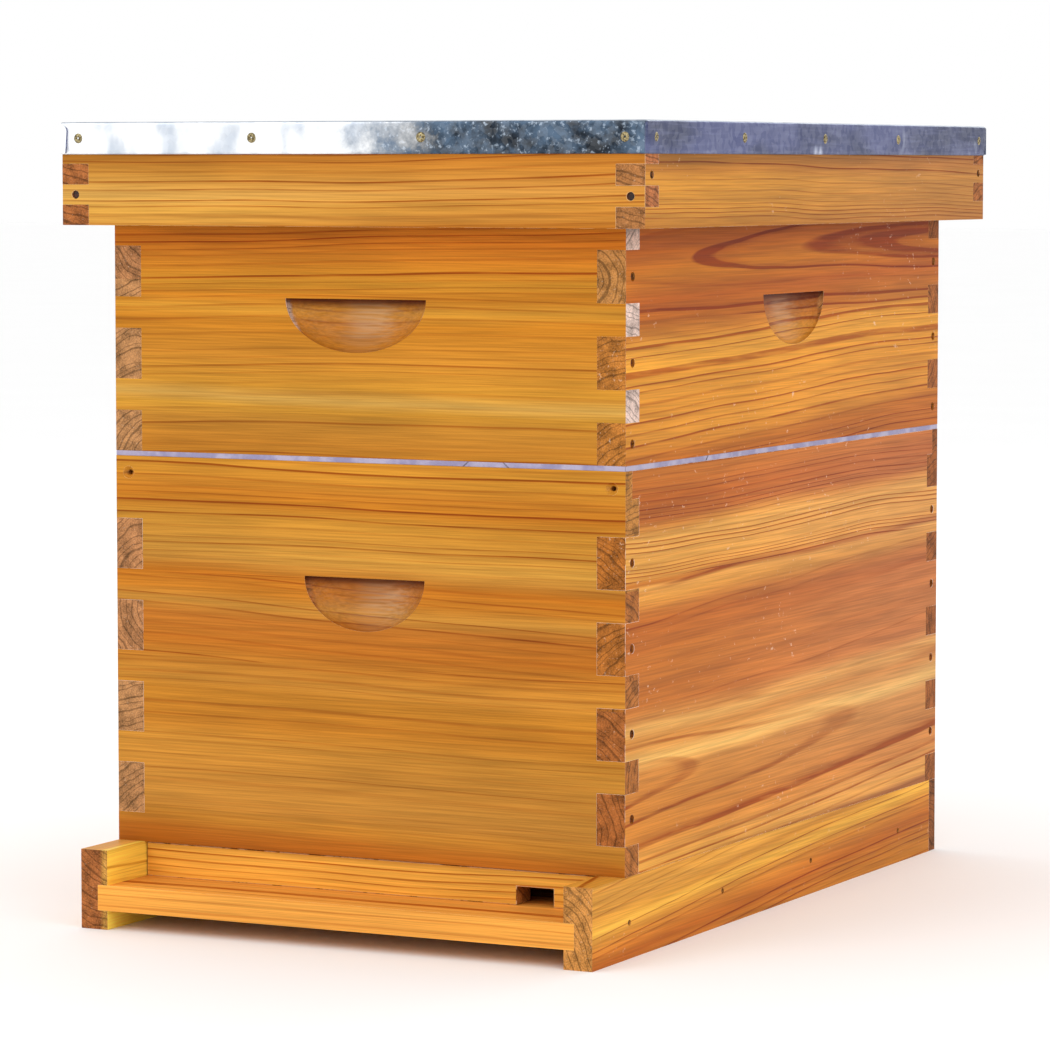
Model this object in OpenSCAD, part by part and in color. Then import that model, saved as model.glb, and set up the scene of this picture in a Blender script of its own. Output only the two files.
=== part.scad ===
// Two-storey frame hive for eight frames: bottom board, deep box, queen excluder, medium super,
// inner cover and telescoping outer cover, with the hanging frames inside.
// The front faces -Y, up is +Z, and the underside of the bottom board rests on z = 0.

/* [Boxes] */
// Outside width of both boxes, across the front
box_w = 355.6; // [348:0.1:380]
// Outside length of both boxes, front to back
box_l = 504.8; // [500:0.1:512]
// Thickness of the boards of the boxes, rails and cover rim
board_t = 19; // [18:0.5:20]
// Height of the deep box
deep_h = 244.5; // [242:0.5:247]
// Height of the medium super
medium_h = 168.3; // [166:0.1:171]
// Depth of the ledge that the frames hang on, into the end boards
rest_d = 9.5; // [9:0.1:10]
// Height of that ledge below the top of its box
rest_h = 17; // [16:0.5:17]

/* [Corner joints] */
// Height of the top finger of the end boards
first_finger = 39.5; // [38:0.5:41]
// Height of the fingers of the side boards
side_finger = 31.8; // [31:0.1:32.5]
// Height of the other fingers of the end boards
end_finger = 19.8; // [19:0.1:20.5]

/* [Handholds] */
// Distance from the top of a box down to the ledge of its handholds
ledge_drop = 71; // [66:1:76]
// Height of a handhold
handhold_h = 33; // [28:1:38]
// Greatest depth of a handhold, at its ledge
handhold_d = 12; // [8:0.5:13]
// Width of the handholds of the medium super
medium_handhold_w = 98; // [84:1:110]
// Width of the handholds of the deep box
deep_handhold_w = 84; // [76:1:100]

/* [Bottom board] */
// Height of the rails
rail_h = 50; // [46:1:54]
// Reach of the rails in front of the boxes
rail_reach = 45; // [30:1:60]
// Thickness of the floor planks
floor_t = 16; // [14:0.5:18]
// Height of the gap between the floor and the deep box
entrance_h = 22; // [20:0.5:23]
// Width of the bee entrance in the reducer
bee_gap_w = 25; // [15:1:60]
// Height of the bee entrance in the reducer
bee_gap_h = 11.5; // [8:0.5:14]

/* [Excluder] */
// Thickness of the queen excluder
excluder_t = 3.2; // [3:0.1:4]
// Spacing of the excluder's wires, centre to centre
wire_pitch = 6.25; // [6:0.05:6.5]

/* [Covers] */
// Height of the inner cover
inner_cover_h = 19; // [17:0.5:21]
// Height of the outer cover's rim
rim_h = 63.5; // [60:0.5:68]
// Thickness of the outer cover's deck
deck_t = 18; // [15:0.5:20]
// Free space between the outer cover's rim and the boxes, on each side
rim_gap = 4.5; // [3:0.5:6]
// Height of the metal sheet's folded skirt
skirt_h = 20; // [15:1:24]

/* [Frames] */
// Thickness of the wax foundation
foundation_t = 2; // [1.5:0.1:2.5]
// Width of the frames' top bars
top_bar_w = 27; // [25:0.5:28]
// Width of the shoulders of the frames' end bars
end_bar_w = 35; // [34:0.5:35.5]

/* [Hidden] */
$fn = 48;
FRAME_COUNT = 8;
FRAMES = [1:FRAME_COUNT];
// One frame hangs in each place of each box, and its foundation is a node of its own
FRAME_NODES = [for (box = ["deep", "medium"], kind = ["frame", "foundation"], i = FRAMES)
    str(box, "_", kind, "_", i)];

eps = 0.1;         // overshoot of a cut past a face
part_gap = 0.1;    // gap that keeps the separate pieces of one node apart

// Colours
WOOD = "#d9933f";
PALE_WOOD = "#e3b878";
DARK_WOOD = "#c98436";
STEEL = "#c3c8d2";
BRASS = "#b89a5a";
WAX = "#e6b93c";

// Fasteners: [head diameter, head thickness, shank diameter, length, depth of head below surface]
BOX_NAIL = [5.6, 1.2, 2.8, 42, 1.6];
RAIL_NAIL = [3.6, 1, 2.2, 38, 1];
RIM_NAIL = [5, 1, 2.4, 38, 1.2];
SHEET_NAIL = [6.6, 1.3, 2.4, 11, -1.3];
nail_tip = 3;
bore_gap = 0.1;

// Levels, from the ground up
floor_top = rail_h - entrance_h;
floor_bottom = floor_top - floor_t;
deep_z = rail_h;
excluder_z = deep_z + deep_h;
medium_z = excluder_z + excluder_t;
inner_cover_z = medium_z + medium_h;
deck_z = inner_cover_z + inner_cover_h;
rim_top = deck_z + deck_t;
rim_z = rim_top - rim_h;

// Bottom board
rear_strip_t = 11;
dado_d = 7;
plank_count = 4;
plank_lap = 8;
rail_l = rail_reach + box_l - rear_strip_t;
floor_w = box_w - 2 * board_t + 2 * dado_d;
plank_l = rail_l / plank_count;
// One nail per plank, measured from the front end of the rail
RAIL_NAIL_PLACES = [51.5, 188.5, 329.5, 481.5];
rail_nail_z = floor_top - 6;
strip_nail_z = floor_top + 10;
reducer_d = 19;
reducer_setback = 2;
reducer_gap = 0.5;
bee_gap_x = 116.5;

// Handhold of the medium's front board, which sits left of the middle
medium_handhold_x = -5.7;

// Pilot holes in the top corners of the end boards
pilot_inset = 9;
pilot_drop = 10.5;
pilot_d = 3.2;
pilot_l = 34;
countersink_d = 8;
countersink_h = 2.4;

// Excluder
binding_w = 12;
binding_sheet = 0.6;
wire_d = 1.9;
wire_end_gap = 3;
cross_bar_w = 8;
cross_bar_t = 0.55;
cross_bar_bite = 0.25;

// Inner cover
inner_rim_w = 22;
panel_t = 6;
panel_tongue = 6.5;
groove_gap = 0.2;
escape_l = 76;
escape_w = 26;

// Outer cover
sheet_t = 0.6;
rim_inner_w = box_w + 2 * rim_gap;
rim_inner_l = box_l + 2 * rim_gap;
rim_w = rim_inner_w + 2 * board_t;
rim_l = rim_inner_l + 2 * board_t;
rim_finger = rim_h / 5;
deck_ledge = board_t / 2;
deck_w = rim_inner_w + 2 * deck_ledge;
deck_l = rim_inner_l + 2 * deck_ledge;
rim_nail_inset = board_t / 2;
sheet_nail_inset = 12.5;
sheet_nail_drop = 10;
// Places of the skirt's nails, as shares of half the way between the corner nails
END_SKIRT_NAILS = [-1, -0.34, 0.28, 1];
SIDE_SKIRT_NAILS = [-1, -0.51, -0.03, 0.44, 1];

// Frames
lug_t = 9.5;
top_bar_t = 19;
end_bar_t = 9.5;
end_bar_tail_w = 28.6;
shoulder_l = 62;
shoulder_slope = 14;
neck_w = 22;
bottom_bar_w = 19;
bottom_bar_t = 9.5;
foundation_groove = 3.2;
top_groove_d = 6;
bottom_groove_d = 4;
side_space = 10;
frame_l = box_l - 2 * rest_d - 3.2;
end_bar_span = box_l - 57.1;
frame_pitch = (box_w - 2 * board_t - 2 * side_space - end_bar_w) / (FRAME_COUNT - 1);
frame_drop = rest_h - lug_t;
deep_frame_h = deep_h - frame_drop - 5;
medium_frame_h = medium_h - frame_drop - 2;

// The object's box is centred on the origin: the rails reach forward, the cover reaches back
cover_reach = rim_gap + board_t + sheet_t - SHEET_NAIL[4];
box_y = (rail_reach - cover_reach) / 2;

// Heights of the fingers of a box's side boards, as [low, high]
function side_fingers(h) =
    [for (top = h - first_finger; top > 0; top = top - side_finger - end_finger)
        [max(0, top - side_finger), top]];

// Heights of the fingers of a box's end boards below the top one, as [low, high]
function lower_end_fingers(h) =
    [for (top = h - first_finger - side_finger; top > 0; top = top - side_finger - end_finger)
        [max(0, top - end_finger), top]];

function middle(span) = (span[0] + span[1]) / 2;

// The corner (side, end) of a w by l box of boards, between two heights
module corner_block(w, l, side, end, span)
    translate([side * (w - board_t + eps) / 2, end * (l - board_t + eps) / 2, middle(span)])
        cube([board_t + eps, board_t + eps, span[1] - span[0]], center = true);

// ---------------------------------------------------------------- fasteners

// A nail driven down from z = 0, with its head at the kind's depth
module nail(kind) {
    head_top = -kind[4];
    translate([0, 0, head_top - kind[1]])
        cylinder(d = kind[0], h = kind[1]);
    translate([0, 0, head_top - kind[3] + nail_tip])
        cylinder(d = kind[2], h = kind[3] - nail_tip - kind[1] / 2);
    translate([0, 0, head_top - kind[3]])
        cylinder(d1 = kind[2] / 4, d2 = kind[2], h = nail_tip);
}

// The hole that such a nail sits in
module nail_bore(kind) {
    depth = kind[4] + kind[3] + bore_gap;
    translate([0, 0, -depth])
        cylinder(d = kind[2] + 2 * bore_gap, h = depth + eps);
    if (kind[4] > 0)
        translate([0, 0, -kind[4] - kind[1] - bore_gap])
            cylinder(d = kind[0] + 2 * bore_gap, h = kind[4] + kind[1] + bore_gap + eps);
}

// Turns a thing that points down from z = 0 so that it points into the side or the end of a box
module into_side(side) rotate([0, side * 90, 0]) children();
module into_end(end) rotate([-end * 90, 0, 0]) children();

// ---------------------------------------------------------------- deep box and medium super

// Places of the nails through the side boards' fingers of a box of height h
module at_box_nails(h)
    for (side = [-1, 1], end = [-1, 1], finger = side_fingers(h))
        translate([side * box_w / 2, end * (box_l - board_t) / 2, middle(finger)])
            into_side(side) children();

// Empty pilot holes in the top corners of the end boards
module pilot_holes(h)
    for (side = [-1, 1], end = [-1, 1])
        translate([side * (box_w / 2 - pilot_inset), end * box_l / 2, h - pilot_drop])
            into_end(end) {
                translate([0, 0, -pilot_l])
                    cylinder(d = pilot_d, h = pilot_l + eps);
                translate([0, 0, -countersink_h])
                    cylinder(d1 = pilot_d, d2 = countersink_d, h = countersink_h + eps / 10);
            }

// A half-ellipsoid cut below a flat ledge, into a board whose outer face is y = 0
module handhold(width)
    intersection() {
        scale([width / 2, handhold_d, handhold_h])
            sphere(r = 1);
        translate([-width, -2 * handhold_d, -2 * handhold_h])
            cube([2 * width, 4 * handhold_d, 2 * handhold_h]);
    }

// An end board, whose outer face is turned to -Y (end = -1) or +Y (end = 1)
module end_board(h, end, handhold_w, handhold_x = 0)
    difference() {
        translate([-box_w / 2, end < 0 ? -box_l / 2 : box_l / 2 - board_t, 0])
            cube([box_w, board_t, h]);
        for (side = [-1, 1], finger = side_fingers(h))
            corner_block(box_w, box_l, side, end, finger);
        frame_rest(h, end);
        at_box_nails(h) nail_bore(BOX_NAIL);
        pilot_holes(h);
        translate([handhold_x, end * box_l / 2, h - ledge_drop])
            rotate(end < 0 ? 0 : 180)
                handhold(handhold_w);
    }

// The rebate along the inner top edge of an end board
module frame_rest(h, end)
    translate([-box_w / 2 - eps, end * (box_l / 2 - board_t) - (end < 0 ? rest_d : eps), h - rest_h])
        cube([box_w + 2 * eps, rest_d + eps, rest_h + eps]);

// A side board on the left (side = -1) or the right (side = 1)
module side_board(h, side, handhold_w = 0)
    difference() {
        translate([side < 0 ? -box_w / 2 : box_w / 2 - board_t, -box_l / 2, 0])
            cube([board_t, box_l, h]);
        for (end = [-1, 1])
            end_finger_space(h, side, end);
        at_box_nails(h) nail_bore(BOX_NAIL);
        pilot_holes(h);
        if (handhold_w > 0)
            translate([side * box_w / 2, 0, h - ledge_drop])
                rotate(side * 90)
                    handhold(handhold_w);
    }

// What the fingers of an end board take out of one corner of a side board
module end_finger_space(h, side, end) {
    for (finger = lower_end_fingers(h))
        corner_block(box_w, box_l, side, end, finger);
    // The top finger is thinner above the ledge, where the side board fills the rebate
    intersection() {
        corner_block(box_w, box_l, side, end, [h - first_finger, h + eps]);
        union() {
            translate([-box_w, -box_l, 0])
                cube([2 * box_w, 2 * box_l, h - rest_h]);
            translate([-box_w, end < 0 ? -box_l : box_l / 2 - board_t + rest_d, 0])
                cube([2 * box_w, box_l / 2 + board_t - rest_d, h + 2 * eps]);
        }
    }
}

// ---------------------------------------------------------------- bottom board

module at_rail_nails()
    for (side = [-1, 1], place = RAIL_NAIL_PLACES)
        translate([side * box_w / 2, place - box_l / 2 - rail_reach, rail_nail_z])
            into_side(side) children();

module at_rear_strip_nails()
    for (side = [-1, 1])
        translate([side * (box_w - board_t) / 2, box_l / 2, strip_nail_z])
            into_end(1) children();

module rail(side)
    color(WOOD)
    translate([0, box_y, 0])
        difference() {
            translate([side < 0 ? -box_w / 2 : box_w / 2 - board_t, -box_l / 2 - rail_reach, 0])
                cube([board_t, rail_l, rail_h]);
            translate([-floor_w / 2, -box_l / 2 - rail_reach - eps, floor_bottom])
                cube([floor_w, rail_l + 2 * eps, floor_t]);
            at_rail_nails() nail_bore(RAIL_NAIL);
            at_rear_strip_nails() nail_bore(RAIL_NAIL);
        }

module bottom_rear_strip()
    color(DARK_WOOD)
    translate([0, box_y, 0])
        difference() {
            translate([-box_w / 2, box_l / 2 - rear_strip_t, 0])
                cube([box_w, rear_strip_t, rail_h]);
            at_rear_strip_nails() nail_bore(RAIL_NAIL);
        }

// Planks lie side to side, and each overlaps the next by a half lap
module floor_planks()
    color(WOOD)
    translate([0, box_y - box_l / 2 - rail_reach, 0])
        difference() {
            for (i = [0 : plank_count - 1])
                translate([0, i * plank_l, 0])
                    plank(i > 0, i < plank_count - 1);
            translate([0, box_l / 2 + rail_reach, 0])
                at_rail_nails() nail_bore(RAIL_NAIL);
        }

module plank(lapped_front, lapped_rear)
    translate([-floor_w / 2, 0, floor_bottom])
        difference() {
            translate([0, lapped_front ? part_gap - plank_lap : 0, 0])
                cube([floor_w, plank_l + (lapped_front ? plank_lap - part_gap : 0), floor_t]);
            if (lapped_front)
                translate([-eps, -plank_lap - eps, floor_t / 2 - part_gap])
                    cube([floor_w + 2 * eps, plank_lap + part_gap + eps, floor_t]);
            if (lapped_rear)
                translate([-eps, plank_l - plank_lap, -floor_t / 2])
                    cube([floor_w + 2 * eps, plank_lap + eps, floor_t]);
        }

module bottom_nails()
    color(BRASS)
    translate([0, box_y, 0]) {
        at_rail_nails() nail(RAIL_NAIL);
        at_rear_strip_nails() nail(RAIL_NAIL);
    }

module entrance_reducer() {
    length = box_w - 2 * board_t - 2 * reducer_gap;
    color(WOOD)
    translate([0, box_y - box_l / 2 + reducer_setback, floor_top])
        difference() {
            translate([-length / 2, 0, 0])
                cube([length, reducer_d, entrance_h - reducer_gap]);
            translate([bee_gap_x - bee_gap_w / 2, -eps, -eps])
                cube([bee_gap_w, reducer_d + 2 * eps, bee_gap_h + eps]);
        }
}

// ---------------------------------------------------------------- boxes in place

module in_deep() translate([0, box_y, deep_z]) children();
module in_medium() translate([0, box_y, medium_z]) children();

module deep_front() color(WOOD) in_deep() end_board(deep_h, -1, deep_handhold_w);
module deep_rear() color(WOOD) in_deep() end_board(deep_h, 1, deep_handhold_w);
module deep_left() color(WOOD) in_deep() side_board(deep_h, -1);
module deep_right() color(DARK_WOOD) in_deep() side_board(deep_h, 1);
module deep_nails() color(BRASS) in_deep() at_box_nails(deep_h) nail(BOX_NAIL);

module medium_front() color(WOOD) in_medium() end_board(medium_h, -1, medium_handhold_w, medium_handhold_x);
module medium_rear() color(WOOD) in_medium() end_board(medium_h, 1, medium_handhold_w);
module medium_left() color(WOOD) in_medium() side_board(medium_h, -1, medium_handhold_w);
module medium_right() color(DARK_WOOD) in_medium() side_board(medium_h, 1, medium_handhold_w);
module medium_nails() color(BRASS) in_medium() at_box_nails(medium_h) nail(BOX_NAIL);

// ---------------------------------------------------------------- queen excluder

// Four folded channels that meet at mitred corners
module excluder_binding() {
    inner_w = box_w - 2 * binding_w;
    inner_l = box_l - 2 * binding_w;
    slot_w = box_w - 2 * binding_sheet;
    slot_l = box_l - 2 * binding_sheet;
    color(STEEL)
    translate([0, box_y, excluder_z])
        difference() {
            translate([-box_w / 2, -box_l / 2, 0])
                cube([box_w, box_l, excluder_t]);
            translate([-inner_w / 2, -inner_l / 2, -eps])
                cube([inner_w, inner_l, excluder_t + 2 * eps]);
            translate([-slot_w / 2, -slot_l / 2, binding_sheet])
                cube([slot_w, slot_l, excluder_t - 2 * binding_sheet]);
            for (side = [-1, 1], end = [-1, 1])
                translate([side * (box_w - binding_w) / 2, end * (box_l - binding_w) / 2, excluder_t / 2])
                    rotate(side * end * 45)
                        cube([3 * binding_w, part_gap, 2 * excluder_t], center = true);
        }
}

// Wires from front to back, welded to three cross bars
module excluder_wires() {
    inner_w = box_w - 2 * binding_w;
    wire_l = box_l - 2 * wire_end_gap;
    gaps = floor(inner_w / wire_pitch);
    color(STEEL)
    translate([0, box_y, excluder_z + excluder_t / 2]) {
        for (i = [0 : gaps - 1])
            translate([(i - (gaps - 1) / 2) * wire_pitch, wire_l / 2, 0])
                rotate([90, 0, 0])
                    cylinder(d = wire_d, h = wire_l, $fn = 16);
        for (i = [-1 : 1])
            translate([-inner_w / 2 + part_gap, i * box_l / 4 - cross_bar_w / 2,
                       wire_d / 2 - cross_bar_bite])
                cube([inner_w - 2 * part_gap, cross_bar_w, cross_bar_t]);
    }
}

// ---------------------------------------------------------------- inner cover

module inner_cover_panel() {
    panel_w = box_w - 2 * inner_rim_w + 2 * panel_tongue;
    panel_l = box_l - 2 * inner_rim_w + 2 * panel_tongue;
    slot_half = (escape_l - escape_w) / 2;
    color(PALE_WOOD)
    translate([0, box_y, inner_cover_z + (inner_cover_h - panel_t) / 2])
        difference() {
            translate([-panel_w / 2, -panel_l / 2, 0])
                cube([panel_w, panel_l, panel_t]);
            for (end = [-1, 1])
                translate([0, end * slot_half, -eps])
                    cylinder(d = escape_w, h = panel_t + 2 * eps);
            translate([-escape_w / 2, -slot_half, -eps])
                cube([escape_w, 2 * slot_half, panel_t + 2 * eps]);
        }
}

// Two long strips with two short ones between them, all grooved for the panel
module inner_cover_rim() {
    groove_w = box_w - 2 * inner_rim_w + 2 * (panel_tongue + groove_gap);
    groove_l = box_l - 2 * inner_rim_w + 2 * (panel_tongue + groove_gap);
    end_strip_l = box_w - 2 * inner_rim_w - 2 * part_gap;
    color(WOOD)
    translate([0, box_y, inner_cover_z])
        difference() {
            union() {
                for (side = [-1, 1])
                    translate([side * (box_w - inner_rim_w) / 2 - inner_rim_w / 2, -box_l / 2, 0])
                        cube([inner_rim_w, box_l, inner_cover_h]);
                for (end = [-1, 1])
                    translate([-end_strip_l / 2, end * (box_l - inner_rim_w) / 2 - inner_rim_w / 2, 0])
                        cube([end_strip_l, inner_rim_w, inner_cover_h]);
            }
            translate([-groove_w / 2, -groove_l / 2, (inner_cover_h - panel_t) / 2])
                cube([groove_w, groove_l, panel_t + groove_gap]);
        }
}

// ---------------------------------------------------------------- outer cover

module in_cover() translate([0, box_y, rim_z]) children();

module at_rim_nails() {
    for (side = [-1, 1], end = [-1, 1]) {
        translate([side * (rim_w / 2 - rim_nail_inset), end * rim_l / 2, rim_finger * 1.5])
            into_end(end) children();
        translate([side * rim_w / 2, end * (rim_l / 2 - rim_nail_inset), rim_finger * 2.5])
            into_side(side) children();
    }
}

// Places of the round-headed nails that hold the metal skirt, on its outer face
module at_sheet_nails() {
    half_w = rim_w / 2 - sheet_nail_inset;
    half_l = rim_l / 2 - sheet_nail_inset;
    level = rim_h + sheet_t - sheet_nail_drop;
    for (end = [-1, 1], place = END_SKIRT_NAILS)
        translate([place * half_w, end * (rim_l / 2 + sheet_t), level])
            into_end(end) children();
    for (side = [-1, 1], place = SIDE_SKIRT_NAILS)
        translate([side * (rim_w / 2 + sheet_t), place * half_l, level])
            into_side(side) children();
}

module cover_bores() {
    at_rim_nails() nail_bore(RIM_NAIL);
    at_sheet_nails() nail_bore(SHEET_NAIL);
}

// The space that the deck takes in the rim's rebates
module deck_space(gap = 0)
    translate([-deck_w / 2 - gap, -deck_l / 2 - gap, rim_h - deck_t])
        cube([deck_w + 2 * gap, deck_l + 2 * gap, deck_t + eps]);

// An end board of the rim, whose fingers are the second and fourth from the bottom
module rim_end(end)
    color(WOOD) in_cover()
        difference() {
            translate([-rim_w / 2, end < 0 ? -rim_l / 2 : rim_l / 2 - board_t, 0])
                cube([rim_w, board_t, rim_h]);
            for (side = [-1, 1], i = [0, 2, 4])
                corner_block(rim_w, rim_l, side, end, [i, i + 1] * rim_finger);
            deck_space(part_gap);
            cover_bores();
        }

// A side board of the rim, whose fingers are the first, third and fifth from the bottom
module rim_side(side)
    color(DARK_WOOD) in_cover()
        difference() {
            translate([side < 0 ? -rim_w / 2 : rim_w / 2 - board_t, -rim_l / 2, 0])
                cube([board_t, rim_l, rim_h]);
            for (end = [-1, 1], i = [1, 3])
                corner_block(rim_w, rim_l, side, end, [i, i + 1] * rim_finger);
            deck_space(part_gap);
            cover_bores();
        }

module cover_deck()
    color(PALE_WOOD) in_cover()
        difference() {
            translate([-deck_w / 2, -deck_l / 2, rim_h - deck_t])
                cube([deck_w, deck_l, deck_t]);
            cover_bores();
        }

// Sheet folded down over the edges of the rim
module cover_sheet()
    color(STEEL) in_cover()
        difference() {
            translate([-rim_w / 2 - sheet_t, -rim_l / 2 - sheet_t, rim_h + sheet_t - skirt_h])
                cube([rim_w + 2 * sheet_t, rim_l + 2 * sheet_t, skirt_h]);
            translate([-rim_w / 2, -rim_l / 2, rim_h - skirt_h])
                cube([rim_w, rim_l, skirt_h]);
            at_sheet_nails() nail_bore(SHEET_NAIL);
        }

module cover_rim_nails() color(BRASS) in_cover() at_rim_nails() nail(RIM_NAIL);
module cover_sheet_nails() color(BRASS) in_cover() at_sheet_nails() nail(SHEET_NAIL);

// ---------------------------------------------------------------- frames

// Places a frame, whose own top is z = 0, in place i of the box whose top is at level
module hang(i, level)
    translate([(i - (FRAME_COUNT + 1) / 2) * frame_pitch, box_y, level - frame_drop])
        children();

module top_bar() {
    body_l = end_bar_span - 2 * end_bar_t - 2 * part_gap;
    lug_l = (frame_l - end_bar_span) / 2 - part_gap;
    difference() {
        union() {
            translate([-top_bar_w / 2, -body_l / 2, -top_bar_t])
                cube([top_bar_w, body_l, top_bar_t]);
            translate([-neck_w / 2, -frame_l / 2, -lug_t])
                cube([neck_w, frame_l, lug_t]);
            for (end = [-1, 1])
                translate([-top_bar_w / 2, end * (frame_l - lug_l) / 2 - lug_l / 2, -lug_t])
                    cube([top_bar_w, lug_l, lug_t]);
        }
        translate([-foundation_groove / 2, -body_l / 2 - eps, -top_bar_t - eps])
            cube([foundation_groove, body_l + 2 * eps, top_groove_d + eps]);
    }
}

// Outline of an end bar of height h, seen from the front, with slots for both bars
module end_bar_outline(h) {
    shoulder = end_bar_w / 2;
    tail = end_bar_tail_w / 2;
    difference() {
        polygon([[-shoulder, 0], [-shoulder, -shoulder_l], [-tail, -shoulder_l - shoulder_slope],
                 [-tail, -h], [tail, -h], [tail, -shoulder_l - shoulder_slope],
                 [shoulder, -shoulder_l], [shoulder, 0]]);
        translate([-neck_w / 2 - part_gap, -lug_t - part_gap])
            square([neck_w + 2 * part_gap, lug_t + part_gap + eps]);
        translate([-bottom_bar_w / 2 - part_gap, -h - eps])
            square([bottom_bar_w + 2 * part_gap, bottom_bar_t + part_gap + eps]);
    }
}

module frame_wood(h) {
    top_bar();
    for (end = [-1, 1])
        translate([0, end * (end_bar_span - end_bar_t) / 2 + end_bar_t / 2, 0])
            rotate([90, 0, 0])
                linear_extrude(end_bar_t)
                    end_bar_outline(h);
    translate([-bottom_bar_w / 2, -end_bar_span / 2, -h])
        difference() {
            cube([bottom_bar_w, end_bar_span, bottom_bar_t]);
            translate([(bottom_bar_w - foundation_groove) / 2, -eps, bottom_bar_t - bottom_groove_d])
                cube([foundation_groove, end_bar_span + 2 * eps, bottom_groove_d + eps]);
        }
}

// The sheet stands in the bottom bar's groove and reaches into the top bar's
module foundation(h) {
    length = end_bar_span - 2 * end_bar_t - 2;
    bottom = -h + bottom_bar_t - bottom_groove_d;
    top = -top_bar_t + top_groove_d - 1;
    translate([-foundation_t / 2, -length / 2, bottom])
        cube([foundation_t, length, top - bottom]);
}

module deep_frame(i) color(PALE_WOOD) hang(i, excluder_z) frame_wood(deep_frame_h);
module deep_foundation(i) color(WAX) hang(i, excluder_z) foundation(deep_frame_h);
module medium_frame(i) color(PALE_WOOD) hang(i, inner_cover_z) frame_wood(medium_frame_h);
module medium_foundation(i) color(WAX) hang(i, inner_cover_z) foundation(medium_frame_h);

// ---------------------------------------------------------------- nodes

rail(-1);  // bottom_rail_left
rail(1);  // bottom_rail_right
bottom_rear_strip();
floor_planks();
bottom_nails();
entrance_reducer();
deep_front();
deep_rear();
deep_left();
deep_right();
deep_nails();
excluder_binding();
excluder_wires();
medium_front();
medium_rear();
medium_left();
medium_right();
medium_nails();
inner_cover_panel();
inner_cover_rim();
rim_end(-1);  // cover_front
rim_end(1);  // cover_rear
rim_side(-1);  // cover_left
rim_side(1);  // cover_right
cover_deck();
cover_sheet();
cover_rim_nails();
cover_sheet_nails();
for (i = FRAMES) {
    deep_frame(i);
    deep_foundation(i);
    medium_frame(i);
    medium_foundation(i);
}
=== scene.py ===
"""Looks of a two-storey wooden beehive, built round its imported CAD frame.

The boards keep their CAD meshes and get eased, waxed edges and solid wood grain. The metal sheet of the
cover, its nails, the excluder's fold marks and the wax foundation are modelled here in more detail.
"""
import math
from functools import partialmethod

import bmesh
import bpy
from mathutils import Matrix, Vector, noise


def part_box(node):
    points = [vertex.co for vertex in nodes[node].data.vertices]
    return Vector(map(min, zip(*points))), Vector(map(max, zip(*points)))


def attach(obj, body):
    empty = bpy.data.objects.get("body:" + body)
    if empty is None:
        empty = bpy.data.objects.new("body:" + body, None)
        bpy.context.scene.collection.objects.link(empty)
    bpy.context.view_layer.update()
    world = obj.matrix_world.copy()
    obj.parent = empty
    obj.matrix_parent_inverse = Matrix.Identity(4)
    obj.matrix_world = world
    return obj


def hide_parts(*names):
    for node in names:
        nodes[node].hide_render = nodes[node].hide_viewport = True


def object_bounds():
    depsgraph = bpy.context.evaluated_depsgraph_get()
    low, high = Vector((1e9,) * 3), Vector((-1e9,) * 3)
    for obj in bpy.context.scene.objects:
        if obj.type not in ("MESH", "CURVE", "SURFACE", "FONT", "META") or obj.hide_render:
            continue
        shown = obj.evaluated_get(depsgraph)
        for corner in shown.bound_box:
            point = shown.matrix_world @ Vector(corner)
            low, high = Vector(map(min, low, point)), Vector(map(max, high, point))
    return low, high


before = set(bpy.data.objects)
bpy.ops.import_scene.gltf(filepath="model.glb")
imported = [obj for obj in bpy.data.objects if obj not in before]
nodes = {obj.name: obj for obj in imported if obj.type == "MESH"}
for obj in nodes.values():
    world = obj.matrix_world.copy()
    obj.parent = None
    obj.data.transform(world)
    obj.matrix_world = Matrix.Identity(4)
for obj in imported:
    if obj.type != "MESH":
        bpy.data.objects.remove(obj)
cad_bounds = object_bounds()

MM = 0.001
BOXES = ("deep", "medium")
FRAME_NUMBERS = range(1, 9)


# ---------------------------------------------------------------- shader helpers

# Most values of a noise lie between these two
NOISE_LOW, NOISE_HIGH = 0.3, 0.7


def rgb(code, alpha=1.0, gain=(1, 1, 1)):
    """Linear colour of a six-digit sRGB code, with its parts multiplied by a gain."""
    values = [int(code[i:i + 2], 16) / 255 for i in (0, 2, 4)]
    linear = [v / 12.92 if v <= 0.04045 else ((v + 0.055) / 1.055) ** 2.4 for v in values]
    return (*[v * g for v, g in zip(linear, gain)], alpha)


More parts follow.
